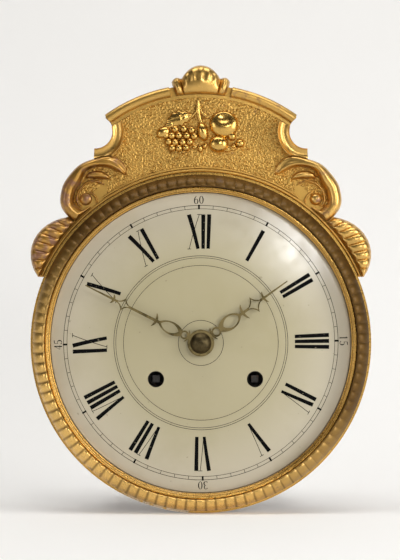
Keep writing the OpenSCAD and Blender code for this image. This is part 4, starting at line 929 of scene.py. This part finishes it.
# Middle of each fruit, its three radii and its turn in degrees
FRUITS = (
    (0.2, 148.4, 4.0, 7.0, 5.2, 12), (15.0, 153.6, 10.3, 9.6, 5.6, -10),
    (11.4, 139.8, 7.0, 6.2, 5.2, 0), (20.6, 145.2, 3.0, 3.4, 3.4, 30),
    (26.4, 140.2, 3.4, 3.2, 3.6, 0), (21.8, 138.2, 1.9, 1.7, 2.4, 0),
    (-27.6, 148.0, 5.2, 4.0, 3.6, 32), (-1.6, 136.8, 1.8, 3.2, 2.4, 8),
    (1.8, 138.6, 1.6, 2.4, 2.0, -20), (-5.4, 137.6, 2.0, 1.6, 1.8, 20))
# Both ends of each leaf, its half width and its height
LEAVES = (
    (-25.6, 155.4, -6.0, 160.4, 5.4, 2.8), (-27.5, 152.0, -16.0, 155.5, 2.6, 2.2),
    (5.4, 150.6, 19.5, 146.6, 2.8, 3.4), (8.0, 135.4, 27.5, 137.2, 1.8, 1.4),
    (-23.5, 134.0, -8.5, 134.4, 1.5, 1.0))
# Points of each stem with its radius there
STEMS = (
    ((-3.4, 169.6, 1.0), (-4.2, 163.0, 1.3), (-8.0, 158.5, 0.9), (-11.0, 155.6, 0.6)),
    ((-3.2, 170.0, 1.2), (-3.0, 163.0, 1.5), (-2.2, 158.0, 1.4), (-0.6, 154.0, 1.0)),
    ((-3.0, 169.6, 1.0), (-0.4, 161.8, 1.3), (3.6, 158.4, 1.1), (7.0, 160.8, 0.8)))


def add_leaf(bm, x0, y0, x1, y1, half_width, height):
    """A domed leaf with a rib down its middle and notched edges."""
    length = math.hypot(x1 - x0, y1 - y0)
    ux, uy = (x1 - x0) / length, (y1 - y0) / length

    def leaf_point(u, t):
        side = 2 * t - 1
        wide = half_width * math.sin(math.pi * min(0.985, max(0.015, u)) ** 0.85)
        wide *= 1 + 0.12 * math.sin(u * 28)
        across = side * wide
        swell = math.sin(math.pi * (0.06 + 0.88 * u)) ** 0.6
        rise = height * rounded(0.04 + 0.92 * t, 2) * swell
        vein = 0.35 * math.exp(-(side / 0.14) ** 2) + 0.08 * math.sin(u * 34 + abs(side) * 5)
        return (x0 + ux * u * length - uy * across, y0 + uy * u * length + ux * across,
                GROUND + LEAF_RISE + max(0.1, rise - vein))

    carve(bm, 34, 12, leaf_point)


def add_stem(bm, points):
    """A round stem laid along the given points, each with its radius."""
    made = bmesh.ops.create_circle(bm, segments=STEM_SIDES, radius=1.0, cap_ends=True)
    ring = made["verts"]
    cap = faces_among(bm, ring)[0]
    for k, (x, y, r) in enumerate(points):
        nx, ny = points[min(k + 1, len(points) - 1)][:2]
        px, py = points[max(k - 1, 0)][:2]
        heading = math.atan2(ny - py, nx - px)
        if k > 0:
            cap = bmesh.ops.extrude_discrete_faces(bm, faces=[cap])["faces"][0]
            ring = cap.verts
        for i, v in enumerate(ring):
            across, up = polar(r, 360 * i / STEM_SIDES)
            v.co = Vector((x - math.sin(heading) * across, y + math.cos(heading) * across,
                           GROUND + STEM_RISE + up))


def build_fruit():
    bm = bmesh.new()
    for x, y in GRAPES:
        add_dome(bm, (x + CREST_SHIFT, y), (GRAPE_R, GRAPE_R, GRAPE_HEIGHT), rings=10,
                 round_parts=20, lift=FRUIT_RISE)
    for x, y, a, b, c, turn in FRUITS:
        add_dome(bm, (x + CREST_SHIFT, y), (a, b, c), turn, rings=18, round_parts=36,
                 lift=FRUIT_RISE)
    for v in bm.verts:
        away = math.hypot((v.co.x - HOLLOW_C[0]) / HOLLOW_STRETCH, v.co.y - HOLLOW_C[1])
        if v.co.z > GROUND + FRUIT_RISE:
            v.co.z -= HOLLOW_DEPTH * math.exp(-(away / HOLLOW_R) ** 2)
    for x0, y0, x1, y1, half, height in LEAVES:
        add_leaf(bm, x0 + CREST_SHIFT, y0, x1 + CREST_SHIFT, y1, half, height)
    for stem in STEMS:
        add_stem(bm, [(x + CREST_SHIFT, y, r) for x, y, r in stem])
    make_piece("fruit", bm, "fruit", replaced=["fruit_relief"], crease=60, weld=FINE_WELD)


# Dial


def ring_edges(bm, centre, radius, parts):
    """The edges of a new circle."""
    made = bmesh.ops.create_circle(bm, segments=parts, radius=radius, cap_ends=False)
    bmesh.ops.translate(bm, vec=Vector((*centre, 0)), verts=made["verts"])
    return list(dict.fromkeys(e for v in made["verts"] for e in v.link_edges))


# The dial is cut into squares of this side, as far out as it reaches, to follow its dome
CUT_STEP = 6.0
CUT_REACH = 102.0


def cut_up(bm):
    """Cuts the dial's sheet into squares, along both axes."""
    for axis in (Vector((1, 0, 0)), Vector((0, 1, 0))):
        at = -CUT_REACH
        while at <= CUT_REACH:
            geom = bm.verts[:] + bm.edges[:] + bm.faces[:]
            bmesh.ops.bisect_plane(bm, geom=geom, plane_co=axis * at, plane_no=axis, dist=1e-5)
            at += CUT_STEP


def round_normals(mesh):
    """Gives the domed face the normals of its sphere, so that no cut shows on it."""
    centre = STAND @ Vector((0, 0, DIAL_TOP - DOME_R))
    normals = []
    for face in mesh.polygons:
        for corner in face.vertices:
            outwards = (mesh.vertices[corner].co - centre).normalized()
            domed = outwards.dot(face.normal) > 0.98
            normals.append(outwards if domed else face.normal.copy())
    mesh.normals_split_custom_set(normals)


def build_dial():
    bm = bmesh.new()
    edges = ring_edges(bm, (0, 0), DIAL_EDGE_R, 192)
    for centre, radius in (((0, 0), CENTRE_HOLE_R), (GOING_HOLE, HOLE_R), (STRIKE_HOLE, HOLE_R)):
        edges += ring_edges(bm, centre, radius, 48)
    bmesh.ops.triangle_fill(bm, edges=edges, use_beauty=True, use_dissolve=False)
    cut_up(bm)
    for v in bm.verts:
        v.co.z = dial_level(v.co.x, v.co.y)
    made = bmesh.ops.extrude_face_region(bm, geom=bm.faces[:])["geom"]
    for v in only(BMVert, made):
        rim = math.hypot(v.co.x, v.co.y) > DIAL_EDGE_R - 0.05
        v.co.z = BOARD_TOP if rim else v.co.z - DIAL_THICKNESS
    piece = make_piece("enamel_dial", bm, "dial", replaced=["dial"], crease=20)
    round_normals(piece.data)


def ribbon(bm, points, widths):
    """A printed line through the points, with its width at each one."""
    edge, pair = None, None
    closed = math.dist(points[0], points[-1]) < 1e-6
    for k, (x, y) in enumerate(points):
        nx, ny = points[min(k + 1, len(points) - 1)]
        px, py = points[max(k - 1, 0)]
        if closed and k in (0, len(points) - 1):
            nx, ny = points[1]
            px, py = points[-2]
        length = math.hypot(nx - px, ny - py)
        sx, sy = -(ny - py) / length, (nx - px) / length
        half = widths[k] / 2
        ends = [(x + sx * half, y + sy * half), (x - sx * half, y - sy * half)]
        if edge is None:
            pair = [bm.verts.new((*end, 0)) for end in ends]
            edge = bm.edges.new(pair)
        else:
            edge = extruded(bm, edge)
            pair = sorted(edge.verts, key=lambda v: (v.co - pair[0].co).length)
            for v, end in zip(pair, ends):
                v.co = Vector((*end, 0))


CIRCLE_PARTS = 240


def circle(bm, radius, width):
    """A printed circle round the dial's centre."""
    points = [polar(radius, 360 * k / CIRCLE_PARTS) for k in range(CIRCLE_PARTS)]
    ribbon(bm, points + points[:1], [width] * (CIRCLE_PARTS + 1))


# The hours: how far their feet and tops lie from the dial's centre, their broad and fine
# strokes, the half length of a serif, the gap between letters and the letters' widths
FIGURE_LOW = 66.0
FIGURE_HIGH = 90.2
FIGURE_H = FIGURE_HIGH - FIGURE_LOW
BAR = 2.85
HAIR = 0.42
SERIF = 1.5
GAP = 1.35
WIDTHS = {"I": BAR, "V": 7.6, "X": 8.8}
HOURS = ("XII", "I", "II", "III", "IV", "V", "VI", "VII", "VIII", "IX", "X", "XI")
# Strokes are cut at about this length, to follow the dome
FIGURE_STEP = 2.4


def roman_lines(letter, x, width):
    """The strokes of one letter, each with its two ends and the widths there. The letter
    starts at x and stands on 0."""
    h, b = FIGURE_H, BAR / 2
    if letter == "I":
        return [(x + b, 0, x + b, h, BAR, BAR)]
    if letter == "V":
        foot = x + width * 0.56
        return [(x + b, h, foot, 0, BAR, BAR * 0.86), (foot + 0.5, 0.3, x + width, h, HAIR, HAIR),
                (x + width - SERIF, h, x + width + SERIF, h, HAIR, HAIR)]
    return [(x + b, h, x + width - b, 0, BAR, BAR), (x + width, h, x, 0, HAIR, HAIR),
            (x + width - SERIF, h, x + width + SERIF, h, HAIR, HAIR),
            (x - SERIF, 0, x + SERIF, 0, HAIR, HAIR)]


def round_dial(x, out, degrees):
    """A place x to the right of the upward line and out along it, turned clockwise."""
    a = math.radians(degrees)
    return x * math.cos(a) + out * math.sin(a), out * math.cos(a) - x * math.sin(a)


def placed_lines(bm, strokes, hour_angle):
    """Strokes from a figure's own frame to the dial, narrower at the foot than at the top."""
    for x0, y0, x1, y1, w0, w1 in strokes:
        parts = max(1, math.ceil(math.hypot(x1 - x0, y1 - y0) / FIGURE_STEP))
        points, widths = [], []
        for k in range(parts + 1):
            s = k / parts
            x, y = x0 + (x1 - x0) * s, y0 + (y1 - y0) * s
            narrow = 0.84 + 0.16 * y / FIGURE_H
            points.append(round_dial(x * narrow, FIGURE_LOW + y, hour_angle))
            widths.append((w0 + (w1 - w0) * s) * (narrow if w0 > 1 else 1))
        ribbon(bm, points, widths)


def arc_line(cx, cy, rx, ry, start, end, thin, thick, parts=14):
    """Points and widths of a curved stroke, thickest where it runs up or down."""
    points, widths = [], []
    for k in range(parts + 1):
        a = math.radians(start + (end - start) * k / parts)
        points.append((cx + rx * math.cos(a), cy + ry * math.sin(a)))
        widths.append(thin + (thick - thin) * abs(math.cos(a)) ** 1.5)
    return points, widths


# Strokes of the minute figures, each with its points and its widths
DIGITS = {
    "0": (arc_line(1.5, 2.8, 1.2, 2.7, 0, 360, 0.24, 0.75, 24),),
    "1": (([(1.4, 0.0), (1.4, 5.6)], [0.7, 0.7]), ([(0.5, 4.5), (1.4, 5.5)], [0.25, 0.4]),
          ([(0.6, 0.08), (2.2, 0.08)], [0.24, 0.24])),
    "3": (arc_line(1.3, 4.2, 1.1, 1.35, 160, -90, 0.26, 0.66),
          arc_line(1.3, 1.5, 1.3, 1.45, 90, -150, 0.26, 0.75)),
    "4": (([(2.1, 0.0), (2.1, 5.6)], [0.7, 0.7]), ([(2.1, 5.5), (0.1, 1.7)], [0.24, 0.24]),
          ([(0.1, 1.6), (3.1, 1.6)], [0.28, 0.28])),
    "5": (([(0.6, 5.4), (2.7, 5.6)], [0.55, 0.55]), ([(0.6, 5.4), (0.5, 3.1)], [0.26, 0.26]),
          arc_line(1.3, 1.75, 1.3, 1.6, 130, -150, 0.26, 0.75)),
    "6": (arc_line(1.5, 1.75, 1.2, 1.7, 0, 360, 0.26, 0.7, 22),
          arc_line(2.4, 2.2, 2.1, 3.4, 178, 105, 0.26, 0.7)),
}
MINUTE_FIGURES = {"60": 0, "15": 90, "30": 180, "45": 270}
MINUTE_FIGURE_R = 97.7
DIGIT_PITCH = 3.7
DIGIT_SHIFT = 0.3
# Radius and width of each printed circle, the minute track's two first
CIRCLES = ((96.6, 0.36), (94.2, 0.3), (61.1, 0.34), (59.7, 0.3), (54.3, 0.3), (15.8, 0.34))
MARK_W = 0.32
HOUR_MARK_W = 1.25
# The print sits turned a little to the left, and sinks into the dial
PRINT_TURN = 0.8
PRINT_SINK = 0.1


def print_minutes(bm):
    """The circles, the minute marks and the figures outside those."""
    for radius, width in CIRCLES:
        circle(bm, radius, width)
    outer, inner = CIRCLES[0][0], CIRCLES[1][0]
    for minute in range(60):
        bold = minute % 5 == 0
        reach = (inner - 0.3, outer + 0.5) if bold else (inner, outer)
        ribbon(bm, [round_dial(0, r, 6 * minute) for r in reach],
               [HOUR_MARK_W if bold else MARK_W] * 2)
    for text, angle in MINUTE_FIGURES.items():
        for k, digit in enumerate(text):
            left = (k - 1) * DIGIT_PITCH + DIGIT_SHIFT
            for points, widths in DIGITS[digit]:
                ribbon(bm, [round_dial(x + left, MINUTE_FIGURE_R + y, angle)
                            for x, y in points], widths)


def print_hours(bm):
    """The roman hours, their feet towards the centre."""
    for hour, name in enumerate(HOURS):
        x = -(sum(WIDTHS[c] for c in name) + GAP * (len(name) - 1)) / 2
        for letter in name:
            placed_lines(bm, roman_lines(letter, x, WIDTHS[letter]), 30 * hour)
            x += WIDTHS[letter] + GAP


def build_print():
    bm = bmesh.new()
    print_minutes(bm)
    print_hours(bm)
    turn = Matrix.Rotation(math.radians(PRINT_TURN), 3, "Z")
    bmesh.ops.rotate(bm, cent=(0, 0, 0), matrix=turn, verts=bm.verts)
    for v in bm.verts:
        v.co.z = dial_level(v.co.x, v.co.y) + sizes().print_lift / MM
    made = bmesh.ops.extrude_face_region(bm, geom=bm.faces[:])["geom"]
    bmesh.ops.translate(bm, vec=Vector((0, 0, -PRINT_SINK)), verts=only(BMVert, made))
    make_piece("printed_figures", bm, "ink", crease=40, weld=FINE_WELD)


# Section of a winding hole's cup: distance from its middle, and height
CUP_SECTION = (
    (3.7, 88.3), (6.15, 88.3), (6.15, 97.9), (5.95, 97.9), (5.95, 88.8), (3.7, 88.8))


def build_hole_shade_cups():
    """Black cups behind the dial's winding holes, painted shade inside the holes, each with a hole
    for its square.
    """
    bm = bmesh.new()
    for x, y in (GOING_HOLE, STRIKE_HOLE):
        verts = [bm.verts.new((x + r, y, z)) for r, z in CUP_SECTION]
        edges = [bm.edges.new(ends) for ends in zip(verts, verts[1:] + verts[:1])]
        bmesh.ops.spin(bm, geom=verts + edges, cent=(x, y, 0), axis=(0, 0, 1),
                       angle=2 * math.pi, steps=48, use_merge=True, use_duplicate=False)
    make_piece("winding_hole_shade_cups", bm, "iron")


# Finishes of the frame's own pieces

FINISH_OF_SLOT = {
    "board_wood": "board", "case_wood": "case", "gilding": "crest", "gilding_dark": "ground",
    "dial_paint": "dial", "hand_brass": "hands", "plate_brass": "plate", "wheel_brass": "wheel",
    "steel": "steel", "blued_steel": "blued", "iron": "iron"}
FINISH_OF_NODE = {
    "ring_frame": "ring", "arch_rail": "rail", "fruit_relief": "fruit", "hand_nut": "nut",
    "going_winding_arbor": "iron", "strike_winding_arbor": "iron"}


def dress_frame():
    slots = {s["node"]: s["material_slot"] for s in frame["record"]["subparts"]}
    for node, piece in frame["nodes"].items():
        key = FINISH_OF_NODE.get(node) or FINISH_OF_SLOT[slots[node]]
        piece.data.materials.clear()
        piece.data.materials.append(finish(key))


# Stage

# Lamps: place, aim, width and height in metres, and power in watts
LAMPS = {
    "glare": ((0.6, -2.1, 0.5), (0, -0.1, -0.08), (0.34, 0.46), 9),
    "right": ((1.25, -0.95, 0.2), (0, -0.1, -0.1), (0.6, 0.9), 11),
    "left": ((-1.35, -1.1, 0.0), (0, -0.1, -0.1), (0.6, 0.9), 4.5),
    "over": ((0, -0.45, 1.5), (0, -0.05, -0.3), (1.8, 0.7), 16),
    "backdrop": ((0, 0.2, 1.3), (0, 0.75, 0.1), (1.6, 0.4), 1),
}


def build_lamps():
    for name, (place, aim, size, power) in LAMPS.items():
        data = bpy.data.lights.new(name, "AREA")
        data.shape = "RECTANGLE"
        data.size, data.size_y = size
        data.energy = power
        light = add_object(name, data)
        light.location = place
        light.rotation_euler = (Vector(aim) - Vector(place)).to_track_quat("-Z", "Y").to_euler()


# The floor and backdrop in metres, and how much they glow where they are seen
FLOOR_REACH = 3.0
FLOOR_GAP = 0.0002
FLAT_EDGE = -0.6
BACK_DISTANCE = 0.75
BACK_HEIGHT = 3.2
SWEEP_R = 0.6
SWEEP_STEPS = 16
FLOOR_LIFT = 0.15
BACK_LIFT = 0.02
LIFT_FADE = 0.5


def sweep_material(low):
    """Matt pale paper that glows a little where it is seen, and can be seen through from
    behind."""
    material = bpy.data.materials.new("Pale Sweep")
    material.use_nodes = True
    tree = material.node_tree
    surface = tree.nodes["Principled BSDF"]
    surface.inputs["Base Color"].default_value = (0.86, 0.85, 0.83, 1)
    surface.inputs["Roughness"].default_value = 0.9
    surface.inputs["Specular IOR Level"].default_value = 0.1
    surface.inputs["Emission Color"].default_value = (1, 0.99, 0.97, 1)
    behind = tree.nodes.new("ShaderNodeNewGeometry").outputs["Backfacing"]
    tree.links.new(arithmetic(tree, "SUBTRACT", 1, behind), surface.inputs["Alpha"])
    rays = tree.nodes.new("ShaderNodeLightPath").outputs
    mirrored = arithmetic(tree, "MAXIMUM", rays["Is Glossy Ray"], rays["Is Transmission Ray"])
    seen = arithmetic(tree, "MAXIMUM", rays["Is Camera Ray"], mirrored)
    high = split_up(tree, tree.nodes.new("ShaderNodeTexCoord").outputs["Object"])[2]
    lift = ranged(tree, high, low, low + LIFT_FADE, FLOOR_LIFT, BACK_LIFT)
    tree.links.new(arithmetic(tree, "MULTIPLY", seen, lift), surface.inputs["Emission Strength"])
    return material


def build_sweep():
    """A pale floor that curves up into a backdrop."""
    low = cad_low.z - FLOOR_GAP
    bm = bmesh.new()
    start = [bm.verts.new((x, -FLOOR_REACH, low)) for x in (-FLOOR_REACH, FLOOR_REACH)]
    edge = bm.edges.new(start)
    bend = BACK_DISTANCE - SWEEP_R
    path = [(FLAT_EDGE, 0), (bend, 0)]
    for k in range(1, SWEEP_STEPS + 1):
        a = math.pi / 2 * k / SWEEP_STEPS
        path.append((bend + SWEEP_R * math.sin(a), SWEEP_R * (1 - math.cos(a))))
    path.append((BACK_DISTANCE, BACK_HEIGHT))
    for y, z in path:
        edge = extruded(bm, edge)
        for v in edge.verts:
            v.co = Vector((v.co.x, y, low + z))
    mesh = smooth_mesh("sweep", bm)
    if mesh.polygons[0].normal.z < 0:
        mesh.flip_normals()
    mesh.materials.append(sweep_material(low))
    add_object("sweep", mesh)


# Colours of the room: light below, dark above, and dimmer behind the camera
ROOM_LOW = (0.8, 0.77, 0.72, 1)
ROOM_HIGH = (0.06, 0.057, 0.053, 1)
ROOM_FRONT = (0.1, 0.095, 0.088, 1)


def build_world():
    world = bpy.data.worlds.new("Studio")
    bpy.context.scene.world = world
    world.use_nodes = True
    tree = world.node_tree
    place = tree.nodes.new("ShaderNodeTexCoord").outputs["Generated"]
    _, deep, high = split_up(tree, place)
    upper = mixed(tree, ranged(tree, high, -0.35, 0.35), ROOM_LOW, ROOM_HIGH)
    shade = mixed(tree, ranged(tree, deep, -0.98, -0.7, 0.75, 0.0), upper, ROOM_FRONT)
    tree.links.new(shade, tree.nodes["Background"].inputs["Color"])


# The camera, in metres: how much it sees from top to bottom at the clock's face
CAMERA_DISTANCE = 1.6
VIEW_HEIGHT = 0.392
FACE_PLANE = -0.11
VIEW_MIDDLE = (-0.0006, -0.0499)
SENSOR = 36


def build_camera():
    data = bpy.data.cameras.new("Front")
    data.sensor_width = SENSOR
    data.lens = SENSOR * CAMERA_DISTANCE / VIEW_HEIGHT
    camera = add_object("Front", data)
    camera.location = (VIEW_MIDDLE[0], FACE_PLANE - CAMERA_DISTANCE, VIEW_MIDDLE[1])
    camera.rotation_euler = (math.pi / 2, 0, 0)
    bpy.context.scene.camera = camera


def build_stage():
    build_sweep()
    build_world()
    build_lamps()
    build_camera()
    bpy.context.scene.view_settings.view_transform = "Standard"


# Operators


class CLOCK_OT_finishes(bpy.types.Operator):
    """Make the finishes and give them to the frame's own pieces"""

    bl_idname = "clock.finishes"
    bl_label = "Finishes"

    def execute(self, context):
        make_materials()
        dress_frame()
        return {"FINISHED"}


class CLOCK_OT_band(bpy.types.Operator):
    """Model the fluted band round the dial's ring"""

    bl_idname = "clock.band"
    bl_label = "Fluted Band"

    def execute(self, context):
        build_band()
        return {"FINISHED"}


class CLOCK_OT_crest_ground(bpy.types.Operator):
    """Model the stippled ground of the crest"""

    bl_idname = "clock.crest_ground"
    bl_label = "Stippled Ground"

    def execute(self, context):
        build_ground()
        return {"FINISHED"}


class CLOCK_OT_shell(bpy.types.Operator):
    """Model the shell on top of the crest"""

    bl_idname = "clock.shell"
    bl_label = "Shell"

    def execute(self, context):
        build_shell()
        return {"FINISHED"}


class CLOCK_OT_scrolls(bpy.types.Operator):
    """Model the two side scrolls with their eyes and leaves"""

    bl_idname = "clock.scrolls"
    bl_label = "Scrolls"

    def execute(self, context):
        build_scroll(-1)
        build_scroll(1)
        return {"FINISHED"}


class CLOCK_OT_fans(bpy.types.Operator):
    """Model the two ribbed fans where the crest meets the ring"""

    bl_idname = "clock.fans"
    bl_label = "Fans"

    def execute(self, context):
        build_fan(-1)
        build_fan(1)
        return {"FINISHED"}


class CLOCK_OT_fruit(bpy.types.Operator):
    """Model the fruit and leaves of the crest"""

    bl_idname = "clock.fruit"
    bl_label = "Fruit"

    def execute(self, context):
        build_fruit()
        return {"FINISHED"}


class CLOCK_OT_dial(bpy.types.Operator):
    """Model the domed dial, its printed figures and the black cups that paint shade in its winding
    holes
    """

    bl_idname = "clock.dial"
    bl_label = "Dial"

    def execute(self, context):
        build_dial()
        build_print()
        build_hole_shade_cups()
        return {"FINISHED"}


class CLOCK_OT_stage(bpy.types.Operator):
    """Set up the floor, backdrop, lights and camera"""

    bl_idname = "clock.stage"
    bl_label = "Stage"

    def execute(self, context):
        build_stage()
        return {"FINISHED"}


# Panel and registration

OPERATORS = (CLOCK_OT_finishes, CLOCK_OT_band, CLOCK_OT_crest_ground, CLOCK_OT_shell,
             CLOCK_OT_scrolls, CLOCK_OT_fans, CLOCK_OT_fruit, CLOCK_OT_dial, CLOCK_OT_stage)


class CLOCK_PT_panel(bpy.types.Panel):
    """The clock's sizes, colours and pieces"""

    bl_idname = "CLOCK_PT_panel"
    bl_label = "Shield Clock"
    bl_space_type = "VIEW_3D"
    bl_region_type = "UI"
    bl_category = "Clock"

    def draw(self, context):
        for group in (sizes(), colours()):
            box = self.layout.box()
            for name in group.__annotations__:
                box.prop(group, name)
        for cls in OPERATORS:
            self.layout.operator(cls.bl_idname)


CLASSES = (ClockSizes, ClockColours, *OPERATORS, CLOCK_PT_panel)


def register():
    for cls in CLASSES:
        bpy.utils.register_class(cls)
    bpy.types.Scene.clock_sizes = bpy.props.PointerProperty(type=ClockSizes)
    bpy.types.Scene.clock_colours = bpy.props.PointerProperty(type=ClockColours)


def unregister():
    del bpy.types.Scene.clock_colours
    del bpy.types.Scene.clock_sizes
    for cls in reversed(CLASSES):
        bpy.utils.unregister_class(cls)


def main():
    register()
    bpy.ops.clock.finishes()
    bpy.ops.clock.band()
    bpy.ops.clock.crest_ground()
    bpy.ops.clock.shell()
    bpy.ops.clock.scrolls()
    bpy.ops.clock.fans()
    bpy.ops.clock.fruit()
    bpy.ops.clock.dial()
    bpy.ops.clock.stage()


if __name__ == "__main__":
    main()
